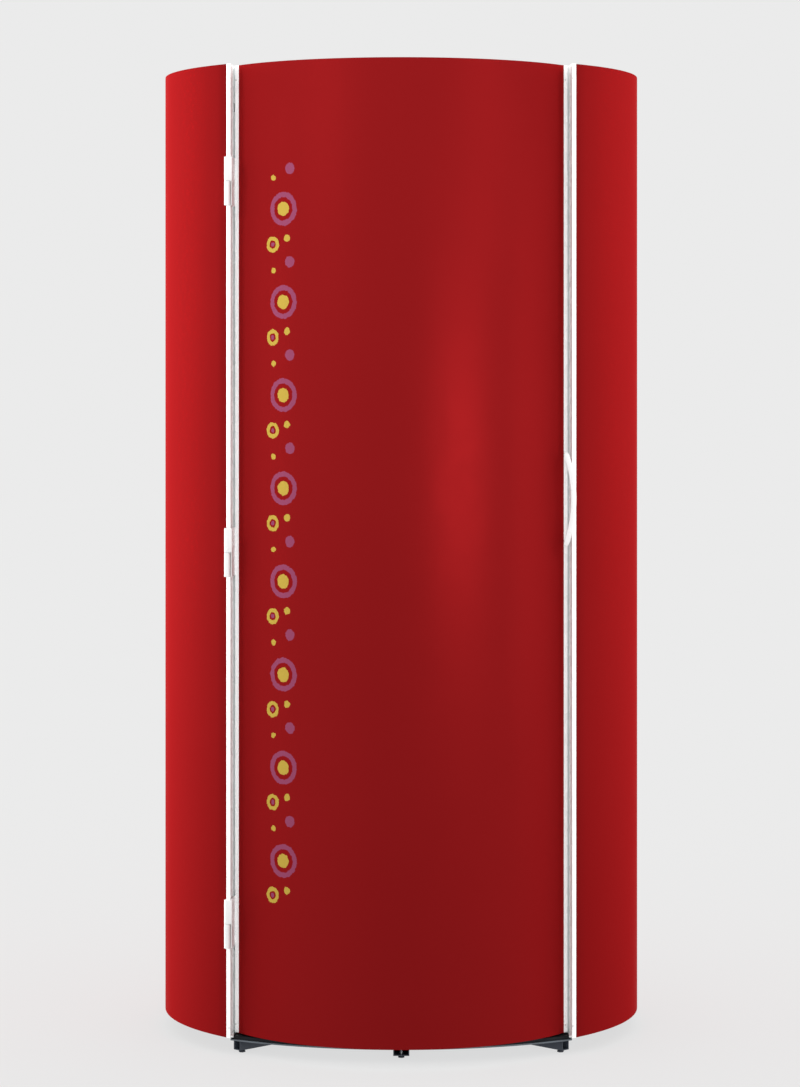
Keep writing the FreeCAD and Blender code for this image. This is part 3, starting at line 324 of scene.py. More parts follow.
def decorate(material):
    tree = material.node_tree
    shader = tree.nodes["Principled BSDF"]
    position = tree.nodes["Texture Coordinate"].outputs["Object"]
    across, height = unrolled(tree, position)
    ragged = map_range(tree, noise(tree, position, BRUSH_SCALE, 4.0, 0.7), -BRUSH_RAGGED, BRUSH_RAGGED)
    in_height = within(tree, height, BAND_LOW, BAND_HIGH)
    colour = shader.inputs["Base Color"].links[0].from_socket
    for paint, aside, share, ring_radius, ring_width in SPOTS:
        mask = painted_spot(tree, across, height, ragged, aside, share, ring_radius, ring_width)
        colour = mix_colour(tree, arithmetic(tree, "MULTIPLY", mask, in_height), colour, paint)
    tree.links.new(colour, shader.inputs["Base Color"])


decorate(shaded_door_lacquer)
print("decoration from", BAND_LOW, "to", BAND_HIGH, "m")

# %% [markdown]
# ## Rounded edges and smooth curves
# A sharp modelled edge catches no light, while every folded, sawn or moulded edge on the real booth has a
# small radius that shows as a fine bright line. The construction meshes are loose triangles, so a copy of
# each is merged, its flat faces are dissolved into single faces, and a bevel rounds the edges. Shading by
# angle then lets the curves read as curves. The copy takes the place of the original. The slotted fan
# guards keep their triangles, because a single face can't run around seven slots without folding over
# itself.

# %% Soften a node
SLOTTED = {"fan_guards"}
MERGE = 0.00001
FLAT_ANGLE = math.radians(0.5)
SHARP_ANGLE = math.radians(30)
USUAL_RADIUS = 0.0006
EDGE_RADIUS = {
    "body_shield": 0, "door_shield": 0, "body_reflector": 0, "door_reflector": 0, "gear_tray": 0,
    "door_handle": 0.0022, "control_console": 0.003, "ballasts": 0.002,
    "start_button": 0.002, "fan_button": 0.002, "stop_button": 0.002,
    "jamb_seals": 0.001, "back_panel": 0.0004, "display_lens": 0.0004, "strike_plate": 0.0002,
    "door_hinge_leaves": 0.0005, "body_hinge_halves": 0.0005, "hinge_post_screw": 0.0008,
}


def round_edges(piece, width, segments, angle):
    bevel = piece.modifiers.new("edge", "BEVEL")
    bevel.width = width
    bevel.segments = segments
    bevel.limit_method = "ANGLE"
    bevel.angle_limit = angle
    apply_all(piece)


def soften(node, finish):
    piece = bpy.data.objects.new(node + "_finished", frame["nodes"][node].data.copy())
    bpy.context.scene.collection.objects.link(piece)
    piece.data.materials.clear()
    piece.data.materials.append(finishes[finish])
    edit_all(piece)
    bpy.ops.mesh.remove_doubles(threshold=MERGE)
    if node not in SLOTTED:
        bpy.ops.mesh.dissolve_limited(angle_limit=FLAT_ANGLE)
    leave_edit()
    radius = EDGE_RADIUS.get(node, USUAL_RADIUS)
    if radius:
        round_edges(piece, radius, 2, SHARP_ANGLE)
    select_only(piece)
    bpy.ops.object.shade_smooth_by_angle(angle=SHARP_ANGLE)
    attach(piece, body_of[node])
    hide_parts(node)


FINISH_OF_NODE = {
    "base_frame": "frame_enamel", "base_plate": "plate_enamel", "floor_pan": "pan_black",
    "terminal_block": "white_plastic", "contactor_box": "black_plastic",
    "latch_post": "white_enamel", "hinge_post": "white_enamel", "jamb_seals": "black_rubber",
    "rear_post_right": "galvanised", "rear_post_left": "galvanised",
    "side_panel_right": "red_lacquer", "side_panel_left": "red_lacquer", "back_panel": "red_lacquer",
    "roof_panel": "grey_enamel", "lower_lamp_rail": "inner_enamel", "upper_lamp_rail": "inner_enamel",
    "body_reflector": "bright_sheet", "body_lampholders": "white_plastic", "body_shield": "clear_acrylic",
    "ceiling_panel": "inner_enamel", "gear_tray": "galvanised", "ballasts": "inner_enamel",
    "control_console": "white_plastic", "display_lens": "dark_lens", "magnetic_catch": "black_plastic",
    "body_hinge_halves": "white_enamel", "hinge_post_screw": "white_enamel",
    "fan_frame_left": "black_plastic", "fan_frame_right": "black_plastic", "fan_guards": "zinc_plate",
    "start_button": "green_plastic", "fan_button": "blue_plastic", "stop_button": "red_plastic",
    "door_skin": "decorated_lacquer", "door_latch_stile": "white_enamel",
    "door_hinge_stile": "white_enamel", "door_top_cap": "grey_enamel", "door_bottom_cap": "inner_enamel",
    "door_lower_lamp_rail": "inner_enamel", "door_upper_lamp_rail": "inner_enamel",
    "door_reflector": "bright_sheet", "door_lampholders": "white_plastic", "door_shield": "clear_acrylic",
    "door_handle": "white_enamel", "strike_plate": "zinc_plate", "door_hinge_leaves": "white_enamel",
}
for node, finish in FINISH_OF_NODE.items():
    soften(node, finish)
print("softened", len(FINISH_OF_NODE), "of", len(frame["nodes"]), "nodes")

# %% [markdown]
# ## Shaping by hand
# Round hardware such as pins, nuts and flanges is drawn up from a disc, the way a potter raises a wall:
# at each step the top face is extruded and resized, and a step down inside the last rim makes a bore.
# Covers and blocks start from a cube at its real size. What repeats is modelled once and copied to its
# places.

# %% Drawing up, boxes, copies and the last touch
def drawn_up(name, steps, sides=32):
    (height, radius), *others = steps
    bpy.ops.object.select_all(action="DESELECT")
    bpy.ops.mesh.primitive_circle_add(vertices=sides, radius=radius, fill_type="NGON",
                                      location=(0, 0, height))
    piece = bpy.context.active_object
    piece.name = name
    place_in_mesh(piece)
    edit_all(piece)
    for next_height, next_radius in others:
        bpy.ops.mesh.extrude_region_move(TRANSFORM_OT_translate={"value": (0, 0, next_height - height)})
        share = next_radius / radius
        bpy.ops.transform.resize(value=(share, share, 1), center_override=(0, 0, next_height))
        height, radius = next_height, next_radius
    bpy.ops.mesh.select_all(action="SELECT")
    bpy.ops.mesh.normals_make_consistent(inside=False)
    leave_edit()
    return piece


def box_between(name, low, high):
    bpy.ops.object.select_all(action="DESELECT")
    middle = [(a + b) / 2 for a, b in zip(low, high)]
    bpy.ops.mesh.primitive_cube_add(size=1, location=middle)
    piece = bpy.context.active_object
    piece.name = name
    piece.scale = [b - a for a, b in zip(low, high)]
    place_in_mesh(piece)
    return piece


def select_faces(piece, chosen):
    """Edit mode with only the chosen faces selected."""
    select_only(piece)
    bpy.ops.object.mode_set(mode="EDIT")
    bpy.ops.mesh.select_mode(type="FACE")
    bpy.ops.mesh.select_all(action="DESELECT")
    leave_edit()
    for face in piece.data.polygons:
        face.select = chosen(face)
    bpy.ops.object.mode_set(mode="EDIT")


def joined(name, pieces):
    bpy.ops.object.select_all(action="DESELECT")
    for piece in pieces:
        piece.select_set(True)
    bpy.context.view_layer.objects.active = pieces[0]
    bpy.ops.object.join()
    pieces[0].name = name
    return pieces[0]


def copied(name, model, placements):
    copies = []
    for placement in placements:
        copy = bpy.data.objects.new(name, model.data.copy())
        copy.data.transform(placement)
        bpy.context.scene.collection.objects.link(copy)
        copies.append(copy)
    bpy.data.objects.remove(model)
    return joined(name, copies)


def shifted(x, y, z=0.0):
    return Matrix.Translation((x, y, z))


def turned_in_plan(degrees):
    return Matrix.Rotation(math.radians(degrees), 4, "Z")


def around(plan_angle, radius, z=0.0, centre_y=0.0):
    """A place on a circle. Zero degrees is the front, and the piece's own -Y then points outwards."""
    return shifted(0, centre_y, z) @ turned_in_plan(plan_angle) @ shifted(0, -radius)


FACING_OUT = Matrix.Rotation(math.radians(90), 4, "X")


def finished(piece, finish, rides_on, *stands_for, edge=0, angle=35.0, segments=2):
    piece.data.materials.clear()
    piece.data.materials.append(finishes[finish])
    if edge:
        round_edges(piece, edge, segments, math.radians(angle))
    select_only(piece)
    bpy.ops.object.shade_smooth_by_angle(angle=math.radians(angle))
    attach(piece, body_of[rides_on])
    if stands_for:
        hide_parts(*stands_for)
    print(piece.name, len(piece.data.polygons), "faces")


print("shaping helpers ready")

# %% [markdown]
# ## The lamps
# Each lamp is a long round tube whose glass narrows at both ends into a metal cap. One lamp is drawn up
# from a disc and copied to every place where the construction has a plain bar. Those places are read from
# the loose parts of the construction's mesh.

# %% Lamps
def loose_centres(node):
    """The plan centre of each loose part of a node."""
    probe = bpy.data.objects.new("probe", frame["nodes"][node].data.copy())
    bpy.context.scene.collection.objects.link(probe)
    edit_all(probe)
    bpy.ops.mesh.remove_doubles(threshold=MERGE)
    bpy.ops.mesh.separate(type="LOOSE")
    leave_edit()
    centres = []
    for part in list(bpy.context.selected_objects):
        corners = [Vector(corner) for corner in part.bound_box]
        centres.append((corners[0] + corners[6]) / 2)
        bpy.data.objects.remove(part)
    return centres


# from a lamp's end inwards: way along it, radius
LAMP_END = [(0.0, 0.0150), (0.0010, 0.0168), (0.0215, 0.0170), (0.0222, 0.0178), (0.0250, 0.0190)]


def lamps(name, node):
    low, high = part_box(node)
    steps = [(low.z + along, radius) for along, radius in LAMP_END]
    steps += [(high.z - along, radius) for along, radius in reversed(LAMP_END)]
    places = [shifted(centre.x, centre.y) for centre in loose_centres(node)]
    finished(copied(name, drawn_up("tube", steps, 24), places), "lamp_glass", node, node, angle=40)
    print(len(places), "lamps")


lamps("body_lamp_tubes", "body_lamps")
lamps("door_lamp_tubes", "door_lamps")

# %% [markdown]
# ## Hinge barrels and pins
# A lift-off hinge is two short tubes on one pin. The lower tube belongs to the post and holds the pin,
# and the upper one belongs to the door and drops over it. Each tube is drawn up outside, turned in over
# its rim and drawn down again inside, so that it has a true bore. The small chamfers at its ends keep the
# two halves from scraping.

# %% Hinge barrels
HINGE_AXIS = (-0.358, -0.374)
HINGE_LEVELS = (0.222, 0.986, 1.750)
BARREL, BORE, PIN = 0.0061, 0.0031, 0.0029
hinge_places = [shifted(*HINGE_AXIS, level) for level in HINGE_LEVELS]
lower = drawn_up("barrel", [(0.0, 0.0052), (0.0009, BARREL), (0.0491, BARREL), (0.0500, 0.0053),
                            (0.0500, BORE), (0.0020, BORE)])
finished(copied("hinge_barrels_post", lower, hinge_places), "white_enamel", "hinge_post")
upper = drawn_up("barrel", [(0.0885, BORE), (0.0505, BORE), (0.0505, 0.0053), (0.0514, BARREL),
                            (0.0975, BARREL), (0.0990, 0.0055), (0.0998, 0.0040), (0.1000, 0.0020)])
finished(copied("hinge_barrels_door", upper, hinge_places), "white_enamel", "door_skin")
pin = drawn_up("pin", [(0.0005, PIN), (0.0865, PIN), (0.0878, 0.0020)], 24)
finished(copied("hinge_pins_turned", pin, hinge_places), "zinc_plate", "hinge_post", "hinge_pins")

# %% [markdown]
# ## Levelling feet
# Under the end of each arm stands a hexagon-headed stud. Turning it raises or lowers that corner. The
# head is a six-sided disc with a chamfered crown, and the thread is a stack of fine rings, which at this
# size reads as a screw thread and stays light.

# %% Feet
FOOT_SPOTS = [(0.0, 0.386)] + [(angle, 0.466) for angle in (45, 135, 180, 225, 315)]
HEAD_TOP, THREAD_TOP = 0.0040, 0.0225
PITCH, THREAD_ROOT, THREAD_CREST = 0.00125, 0.0034, 0.0040
TIP, TIP_RADIUS = 0.0004, 0.0036

foot_places = [around(angle, reach) for angle, reach in FOOT_SPOTS]
head = drawn_up("head", [(0.0, 0.0055), (0.0006, 0.0066), (0.0008, 0.0074), (0.0034, 0.0074),
                         (HEAD_TOP, 0.0064)], 6)
finished(copied("foot_heads", head, foot_places), "blued_steel", "base_frame", "levelling_feet",
         edge=0.0003)
thread = [(HEAD_TOP, THREAD_CREST)]
while thread[-1][0] < THREAD_TOP:
    level = thread[-1][0]
    thread += [(level + PITCH / 2, THREAD_ROOT), (level + PITCH, THREAD_CREST)]
stud = drawn_up("stud", thread + [(thread[-1][0] + TIP, TIP_RADIUS)], 24)
finished(copied("foot_studs", stud, foot_places), "zinc_plate", "base_frame", "levelling_feet")

# %% [markdown]
# ## Standing mat
# The user stands on a round rubber mat with raised rings, which drain and grip. A disc is resized step by
# step towards its middle, up onto each ring and down into each groove.

# %% Mat
MAT_EDGE = 0.0015
GROOVE = 0.0012
RING_TOP, RING_FOOT, RING_NEXT, RING_PITCH = 0.0068, 0.0078, 0.0112, 0.0122
SMALLEST_RING = 0.03

mat_low, mat_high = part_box("floor_mat")
mat_radius = (mat_high.x - mat_low.x) / 2
rings = [(mat_low.z, mat_radius - MAT_EDGE), (mat_low.z + MAT_EDGE, mat_radius),
         (mat_high.z - GROOVE, mat_radius)]
radius = mat_radius - GROOVE
while radius > SMALLEST_RING:
    rings += [(mat_high.z, radius), (mat_high.z, radius - RING_TOP),
              (mat_high.z - GROOVE, radius - RING_FOOT), (mat_high.z - GROOVE, radius - RING_NEXT)]
    radius -= RING_PITCH
mat = drawn_up("mat", rings + [(mat_high.z, radius)], 96)
mat.data.transform(shifted(0, (mat_low.y + mat_high.y) / 2))
finished(mat, "black_rubber", "floor_mat", "floor_mat")

# %% [markdown]
# ## Cable gland
# The mains lead enters through a gland in the floor: a threaded tube that a nut holds above and a domed
# nut seals below. The tube is threaded like the feet, and the nuts are six-sided.

# %% Gland
GLAND_PITCH, GLAND_ROOT, GLAND_CREST, GLAND_BORE = 0.0015, 0.0089, 0.0098, 0.005
PLAIN_END = 0.0022
NUT_CORNER, NUT_FACE, NUT_HOLE = 0.0149, 0.0135, 0.0099

gland_low, gland_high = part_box("cable_gland")
rise = gland_low.z
thread = [(rise, 0.0088)]
while thread[-1][0] < gland_high.z - PLAIN_END:
    level = thread[-1][0]
    thread += [(level + GLAND_PITCH / 2, GLAND_CREST), (level + GLAND_PITCH, GLAND_ROOT)]
thread += [(gland_high.z, 0.0095), (gland_high.z, GLAND_BORE), (rise + 0.001, GLAND_BORE)]
tube = drawn_up("gland_tube", thread, 32)
lock_nut = drawn_up("nut", [(0.036, NUT_FACE), (0.0364, NUT_CORNER), (0.0404, NUT_CORNER),
                            (0.0408, NUT_FACE), (0.0408, NUT_HOLE)], 6)
dome_nut = drawn_up("nut", [(0.0212, NUT_HOLE), (0.0212, NUT_FACE), (0.0216, NUT_CORNER),
                            (0.0256, NUT_CORNER), (0.026, NUT_FACE)], 6)
gland = joined("gland", [tube, lock_nut, dome_nut])
gland.data.transform(shifted((gland_low.x + gland_high.x) / 2, (gland_low.y + gland_high.y) / 2))
finished(gland, "black_plastic", "cable_gland", "cable_gland", edge=0.0003)

# %% [markdown]
# ## Ceiling grab rail
# A polished tube hangs from two posts and is held with both hands. The tube has domed ends. Each post
# stands on a round flange that three screws hold to the ceiling.

# %% Grab rail
TUBE, POST, FLANGE = 0.0125, 0.0105, 0.0300
HALF_SPAN = 0.130
SCREW_CIRCLE, SCREW_TURNS = 0.0235, (0.5, 2.6, 4.7)
FLANGE_FACE = 0.0047

rail_low, rail_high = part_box("ceiling_grab_rail")
rail_y, rail_z = (rail_low.y + rail_high.y) / 2, rail_low.z + TUBE
reach, top = rail_high.x, rail_high.z
dome = [(-reach, 0.0040), (-reach + 0.0012, 0.0082), (-reach + 0.0040, 0.0115), (-reach + 0.0070, TUBE)]
bar = drawn_up("bar", dome + [(-z, r) for z, r in reversed(dome)], 40)
bar.data.transform(Matrix.Rotation(math.radians(90), 4, "Y"))
bar.data.transform(shifted(0, rail_y, rail_z))
post = drawn_up("post", [(rail_z, POST), (top - 0.0092, POST), (top - 0.0068, 0.0125),
                         (top - 0.0052, 0.0180), (top - 0.0045, 0.0285), (top - 0.0035, FLANGE),
                         (top, FLANGE)], 48)
posts = copied("posts", post, [shifted(side * HALF_SPAN, rail_y) for side in (-1, 1)])
finished(joined("grab_rail", [bar, posts]), "polished_steel", "ceiling_panel", "ceiling_grab_rail",
         angle=40)
screw = drawn_up("screw", [(0.0, 0.0034), (-0.0005, 0.0033), (-0.0009, 0.0026), (-0.0011, 0.0016)], 20)
places = [shifted(side * HALF_SPAN + SCREW_CIRCLE * math.cos(turn),
                  rail_y + SCREW_CIRCLE * math.sin(turn), top - FLANGE_FACE)
          for side in (-1, 1) for turn in SCREW_TURNS]
finished(copied("grab_rail_screws", screw, places), "zinc_plate", "ceiling_panel")

# %% [markdown]
# ## Grip inside the door
# The grip that pulls the door shut from inside is one bent tube. A disc is extruded out from the stile,
# spun a quarter turn, extruded along, spun again and extruded back, just as a tube bender would do it.

# %% Inner grip
GRIP, GRIP_BEND = 0.007, 0.014
GRIP_ANGLE = 57.1
LEG_OUT, LEG_IN = 0.2995, 0.258
BEND_STEPS = 8

grip_low, grip_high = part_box("inner_grip")
low_leg, high_leg = grip_low.z + 2 * GRIP, grip_high.z - 2 * GRIP
straight = LEG_OUT - LEG_IN - GRIP_BEND
bend_y = -LEG_IN - GRIP_BEND


def extruded(x, y, z):
    bpy.ops.mesh.extrude_region_move(TRANSFORM_OT_translate={"value": (x, y, z)})


def bent(bend_z):
    bpy.ops.mesh.spin(steps=BEND_STEPS, angle=math.radians(90), center=(0, bend_y, bend_z),
                      axis=(1, 0, 0))


bpy.ops.object.select_all(action="DESELECT")
bpy.ops.mesh.primitive_circle_add(vertices=24, radius=GRIP, fill_type="NGON",
                                  rotation=(math.radians(90), 0, 0))
grip = bpy.context.active_object
grip.name = "inner_grip_tube"
grip.location = (0, -LEG_OUT, low_leg)
place_in_mesh(grip)
edit_all(grip)
extruded(0, straight, 0)
bent(low_leg + GRIP_BEND)
extruded(0, 0, high_leg - low_leg - 2 * GRIP_BEND)
bent(high_leg - GRIP_BEND)
extruded(0, -straight, 0)
bpy.ops.mesh.select_all(action="SELECT")
bpy.ops.mesh.remove_doubles(threshold=MERGE)
bpy.ops.mesh.normals_make_consistent(inside=False)
leave_edit()
print("grip spans", [round(v, 3) for v in grip.dimensions])
grip.data.transform(around(GRIP_ANGLE, 0, 0, door_centre_y))
finished(grip, "inner_enamel", "door_skin", "inner_grip", angle=50)

# %% [markdown]
# ## Fan wheels
# Two extractor wheels draw the heat up through the roof. A wheel has a domed hub and seven broad blades.
# A blade starts as a plane that is subdivided, and its points are then turned about the blade's length,
# more at the root than at the tip, and cambered across. Solidify gives it a moulded thickness.

# %% Fan blades and hubs
BLADES = 7
BLADE_ROOT, BLADE_LENGTH = 0.034, 0.060
CHORD, CHORD_SWELL, SWELL_SPAN = 0.034, 0.020, 0.8
ROOT_TURN, TWIST = 44, 18
CAMBER, SWEEP, RISE_SHARE = 0.0030, 0.006, 0.62
BLADE_WALL = 0.0016
AXLE_HOLE, HUB, HUB_HALF_HEIGHT = 0.0041, 0.038, 0.013


def walled(piece, thickness):
    wall = piece.modifiers.new("wall", "SOLIDIFY")
    wall.thickness = thickness
    wall.offset = 0
    apply_all(piece)


def blade_model():
    bpy.ops.object.select_all(action="DESELECT")
    bpy.ops.mesh.primitive_grid_add(x_subdivisions=10, y_subdivisions=6, size=1)
    blade = bpy.context.active_object
    for point in blade.data.vertices:
        out, across = point.co.x + 0.5, point.co.y
        chord = CHORD + CHORD_SWELL * math.sin(out * math.pi * SWELL_SPAN)
        turn = math.radians(ROOT_TURN - TWIST * out)
        camber = CAMBER * (0.25 - across ** 2) * 4
        flat = across * chord
        point.co = (BLADE_ROOT + out * BLADE_LENGTH,
                    flat * math.cos(turn) - camber * math.sin(turn) + SWEEP * out ** 2,
                    flat * math.sin(turn) * RISE_SHARE + camber * math.cos(turn))
    walled(blade, BLADE_WALL)
    return blade


for side in ("left", "right"):
    node = "fan_impeller_" + side
    low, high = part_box(node)
    centre = (low + high) / 2
    blades = copied("blades", blade_model(), [turned_in_plan(360 * i / BLADES) for i in range(BLADES)])
    blades.data.transform(shifted(0, 0, centre.z))
    bottom, top = centre.z - HUB_HALF_HEIGHT, centre.z + HUB_HALF_HEIGHT
    hub = drawn_up("hub", [(top - 0.003, AXLE_HOLE), (bottom, AXLE_HOLE), (bottom, 0.0365),
                           (bottom + 0.0015, HUB), (top - 0.004, HUB), (top - 0.0012, 0.0362),
                           (top, 0.032), (top, 0.010), (top - 0.0012, 0.009)], 48)
    wheel = joined("fan_wheel_" + side, [hub, blades])
    wheel.data.transform(shifted(centre.x, centre.y))
    finished(wheel, "black_plastic", node, node)

# %% [markdown]
# ## Screws and small fittings
# Flat heads hold the stiles and the posts at their ends. They are painted over, so they show only as
# faint discs. The casing's back is screwed to its posts with socket heads, and so is the roof along its
# rim. Each head is drawn up once, turned to face out of its panel and copied.

# %% Screws
def facing(plan_angle, place):
    """A model drawn up along +Z, laid to face out at a plan angle."""
    return shifted(*place) @ turned_in_plan(plan_angle) @ FACING_OUT


# plan angle that a head faces, place
STILE_SPOTS = [(-57, (-0.3425, -0.3222, 0.0565)), (-57, (-0.3425, -0.3222, 2.012)),
               (57, (0.3395, -0.3267, 0.0555)), (57, (0.3395, -0.3267, 2.012))]
POST_SPOTS = [(44, (0.3534, -0.3677, 0.0611)), (44, (0.3534, -0.3677, 2.012)),
              (-44, (-0.3548, -0.3662, 2.012))]
# heads from the panel outwards: height, radius
STILE_HEAD = [(-0.0004, 0.0019), (0.0002, 0.0018), (0.0004, 0.0013), (0.0004, 0.0007), (0.0001, 0.0006)]
POST_HEAD = [(-0.0004, 0.0021), (0.0002, 0.0020), (0.0005, 0.0014), (0.0005, 0.0008), (0.0002, 0.0007)]
SOCKET_HEAD = [(-0.0005, 0.0036), (0.0006, 0.0038), (0.0015, 0.0032), (0.0019, 0.0022),
               (0.0019, 0.0015), (0.0007, 0.0014)]
SEAM_ANGLES = (133.4, 136.6, 223.4, 226.6)
SEAM_LEVELS = (0.12, 0.49, 0.86, 1.23, 1.60, 1.97)
RIM_INSET = 0.016


def screws(name, profile, places, finish, rides_on):
    finished(copied(name, drawn_up("head", profile, 16), places), finish, rides_on)


screws("stile_screws", STILE_HEAD, [facing(*spot) for spot in STILE_SPOTS], "screw_enamel", "door_skin")
screws("post_screws", POST_HEAD, [facing(*spot) for spot in POST_SPOTS], "screw_enamel", "hinge_post")
seams = [around(angle, cabin_radius, level) @ FACING_OUT
         for angle in SEAM_ANGLES for level in SEAM_LEVELS]
screws("casing_screws", SOCKET_HEAD, seams, "zinc_plate", "back_panel")
roof_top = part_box("roof_panel")[1].z
rim = [around(angle, cabin_radius - RIM_INSET, roof_top) for angle in range(60, 301, 30)]
screws("roof_screws", SOCKET_HEAD, rim, "zinc_plate", "roof_panel")

# %% [markdown]
# High in the groove on the hinge side a rubber bush guards the hole where the door's wiring passes, and
# at the foot of each groove a small block closes the gap under the door. Both start as boxes and get well
# rounded edges, and the bush's face is inset and pushed in to make the slot.

# %% Groove bush and foot blocks
BUSH_HALF = Vector((0.0016, 0.0006, 0.0085))
BUSH_SLOT = 0.0007
BUSH_PLACE, BUSH_ANGLE = (-0.3472, -0.3136, 1.9555), 32
BLOCK_X, BLOCK_Y, BLOCK_HEIGHT = (0.3462, 0.3522), (-0.3600, -0.3180), 0.0034
BLOCK_INSET, BLOCK_LEAN = 0.0012, 0.001
ALONG_AXIS = 0.9

bush = box_between("groove_bush", -BUSH_HALF, BUSH_HALF)
select_faces(bush, lambda face: face.normal.y < -ALONG_AXIS)
bpy.ops.mesh.inset(thickness=BUSH_SLOT)
bpy.ops.mesh.extrude_region_move(TRANSFORM_OT_translate={"value": (0, BUSH_SLOT, 0)})
leave_edit()
bush.data.transform(shifted(*BUSH_PLACE) @ turned_in_plan(BUSH_ANGLE))
finished(bush, "black_rubber", "hinge_post", edge=0.0002)
pan_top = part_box("floor_pan")[1].z
blocks = []
for side in (-1, 1):
    edges = sorted(side * x for x in BLOCK_X)
    block = box_between("block", (edges[0], BLOCK_Y[0], pan_top),
                        (edges[1], BLOCK_Y[1], pan_top + BLOCK_HEIGHT))
    select_faces(block, lambda face: face.normal.z > ALONG_AXIS)
    bpy.ops.mesh.inset(thickness=BLOCK_INSET)
    bpy.ops.transform.translate(value=(0, BLOCK_LEAN, 0))
    leave_edit()
    blocks.append(block)
finished(joined("groove_foot_blocks", blocks), "white_enamel", "hinge_post", edge=0.0009, segments=3)

# %% [markdown]
# ## Frames on the console
# A thin frame surrounds every button and the display. A plane is inset, its middle is taken out, and a
# wall is given with Solidify, so the button can still move through it.

# %% Console frames
RIM_WIDTHS = {"start_button": 0.003, "fan_button": 0.003, "stop_button": 0.003, "display_lens": 0.004}
RIM_CLEARANCE, RIM_WALL = 0.0005, 0.0024

console_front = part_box("control_console")[0].y
frames = []
for node, rim_width in RIM_WIDTHS.items():
    low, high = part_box(node)
    margin = 2 * (rim_width + RIM_CLEARANCE)
    bpy.ops.object.select_all(action="DESELECT")
    bpy.ops.mesh.primitive_plane_add(size=1, rotation=(math.radians(90), 0, 0))
    ring = bpy.context.active_object
    ring.scale = (high.x - low.x + margin, high.z - low.z + margin, 1)
    ring.location = ((low.x + high.x) / 2, console_front, (low.z + high.z) / 2)
    place_in_mesh(ring)
    edit_all(ring)
    bpy.ops.mesh.select_mode(type="FACE")
    bpy.ops.mesh.inset(thickness=rim_width)
    bpy.ops.mesh.delete(type="FACE")
    leave_edit()
    walled(ring, RIM_WALL)
    frames.append(ring)
finished(joined("console_frames", frames), "pale_grey_plastic", "control_console", edge=0.0007,
         segments=3)

# %% [markdown]
# ## Camera, floor and light
# The booth is seen from the front at eye height, from far enough away that its sides stay upright. The
# lens is shifted down a little, so the camera stays level and no line converges.

# %% Camera
PICTURE = (800, 1087)
FOCAL_PIXELS = 3366.0
HORIZON_ROW = 375.5
CENTRE_COLUMN = 401.28
CAMERA_AT = (0.0, -7.2956, 1.40)
SENSOR = 36.0

camera_data = bpy.data.cameras.new("camera")
camera_data.sensor_width = SENSOR
camera_data.lens = FOCAL_PIXELS / PICTURE[1] * SENSOR
camera_data.shift_x = (PICTURE[0] / 2 - CENTRE_COLUMN) / PICTURE[1]
camera_data.shift_y = (HORIZON_ROW - PICTURE[1] / 2) / PICTURE[1]
camera = bpy.data.objects.new("camera", camera_data)
camera.location = CAMERA_AT
camera.rotation_euler = (math.radians(90), 0, 0)
bpy.context.scene.collection.objects.link(camera)
bpy.context.scene.camera = camera
print("lens", round(camera_data.lens, 1), "mm, shift", round(camera_data.shift_y, 4))

# %% Floor
FLOOR_SIZE, FLOOR_GLOW = 60, 0.667

bpy.ops.object.select_all(action="DESELECT")
bpy.ops.mesh.primitive_plane_add(size=FLOOR_SIZE, location=(0, 0, 0))
floor = bpy.context.active_object
floor.name = "studio_floor"
paper = finish_of("studio_paper", (0.20, 0.20, 0.20), (0.195, 0.195, 0.195), (0.8, 0.9), 1.0, 90,
                  0.0001, shine=0.0)
paper_shader = paper.node_tree.nodes["Principled BSDF"]
paper_shader.inputs["Emission Color"].default_value = (1, 1, 1, 1)
paper_shader.inputs["Emission Strength"].default_value = FLOOR_GLOW
floor.data.materials.append(paper)
print("floor", [round(v) for v in floor.dimensions])

# %% [markdown]
# The floor glows a little, so that it has the backdrop's tone. Each softbox lights only the pieces linked
# to it, and none lights the floor. Two tall ones stand behind the booth and draw its sides, and two weak
# ones fill in from the front. The door's skin has three of its own, from both sides and from high on the
# left, and its two stiles have one each side. The posts' fill is faintly cool, against the red that the
# panels throw on them. The front strip gives only a soft reflection.

# %% Studio light
BACKDROP = 0.83
NEUTRAL, COOL = (1.0, 1.0, 1.0), (0.72, 1.0, 1.0)

world = bpy.data.worlds.new("studio")
bpy.context.scene.world = world
world.use_nodes = True
world.node_tree.nodes["Background"].inputs["Color"].default_value = (BACKDROP, BACKDROP, BACKDROP, 1)
world.node_tree.nodes["Background"].inputs["Strength"].default_value = 1.0
bpy.context.scene.view_settings.view_transform = "Standard"


def group(name, pieces):
    collection = bpy.data.collections.new(name)
    for piece in pieces:
        collection.objects.link(piece)
    return collection


def finished_nodes(*nodes):
    return [bpy.data.objects[node + "_finished"] for node in nodes]


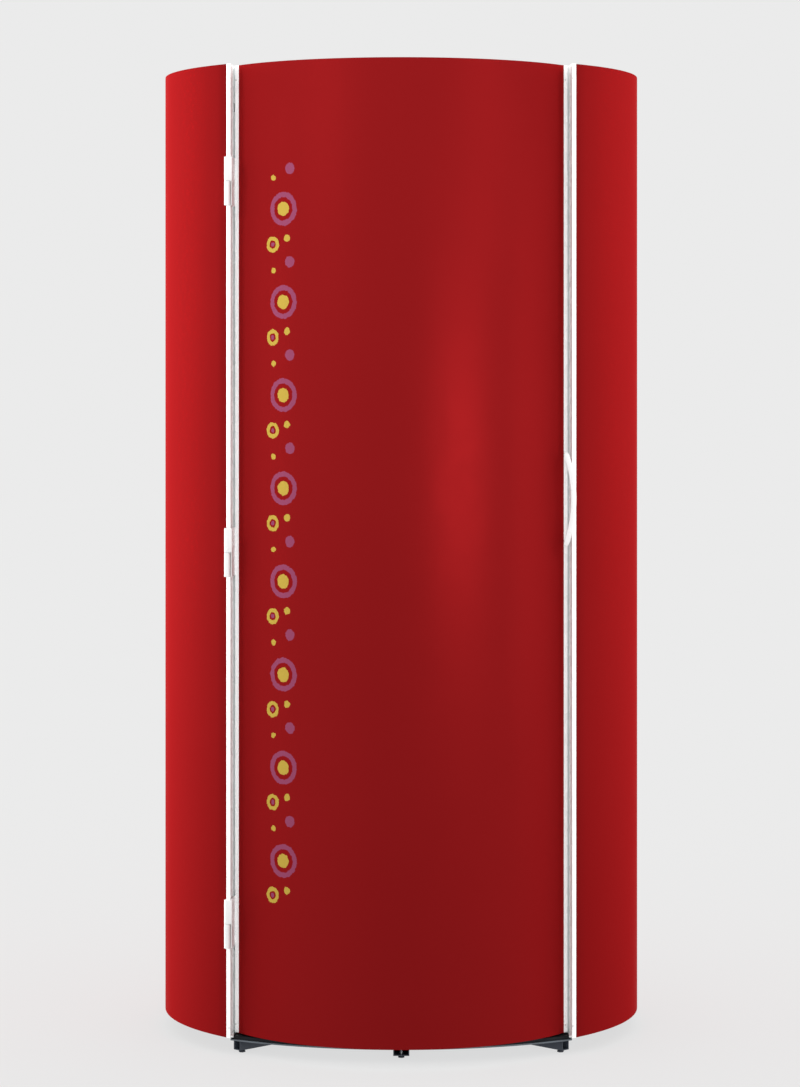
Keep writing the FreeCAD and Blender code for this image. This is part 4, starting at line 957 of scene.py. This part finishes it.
booth = group("booth", [o for o in bpy.context.scene.objects if o.type == "MESH" and o is not floor])
door_alone = group("door_alone", finished_nodes("door_skin"))
posts = group("posts", finished_nodes("hinge_post", "latch_post"))
trims = group("trims", finished_nodes("door_hinge_stile", "door_latch_stile"))


def softbox(name, place, aim, size, power, lit, shaded_by=None, colour=NEUTRAL, mirrored=True):
    data = bpy.data.lights.new(name, "AREA")
    data.shape = "RECTANGLE"
    data.size, data.size_y = size
    data.energy = power
    data.color = colour
    lamp = bpy.data.objects.new(name, data)
    lamp.location = place
    lamp.rotation_euler = (Vector(aim) - Vector(place)).to_track_quat("-Z", "Y").to_euler()
    lamp.light_linking.receiver_collection = lit
    lamp.light_linking.blocker_collection = shaded_by
    lamp.visible_glossy = mirrored
    bpy.context.scene.collection.objects.link(lamp)
    return lamp


for name, place, aim, size, power in (
        ("left_rim", (-3.5, 2.0, 1.9), (0, 0, 1.2), (1.0, 2.6), 490),
        ("right_rim", (3.5, 2.0, 1.9), (0, 0, 1.2), (1.0, 2.6), 290),
        ("left_front", (-2.6, -2.2, 3.2), (0, -0.4, 1.4), (1.0, 1.0), 41),
        ("right_front", (2.6, -2.2, 3.2), (0, -0.4, 1.4), (1.0, 1.0), 41)):
    softbox(name, place, aim, size, power, booth, mirrored=False)
for name, place, aim, power in (
        ("left_door_side", (-4.4, -1.1, 1.4), (0, -0.3, 1.2), 82),
        ("right_door_side", (4.4, -1.1, 1.4), (0, -0.3, 1.2), 120),
        ("door_key", (-1.4, -2.0, 3.4), (-0.1, -0.5, 1.6), 42)):
    softbox(name, place, aim, (0.8, 2.4), power, door_alone, door_alone, mirrored=False)
softbox("groove_fill", (0, -6.0, 1.5), (0, 0, 1.2), (1.0, 2.0), 40, posts, colour=COOL)
for name, side in (("left_trim", -1), ("right_trim", 1)):
    softbox(name, (side * 5.0, -3.6, 1.5), (side * 0.34, -0.37, 1.2), (1.0, 2.0), 130, trims, trims)
front_strip = softbox("front_strip", (3.4, -5.2, 1.55), (0, -0.4, 1.4), (3.2, 1.9), 88, booth)
front_strip.visible_diffuse = False
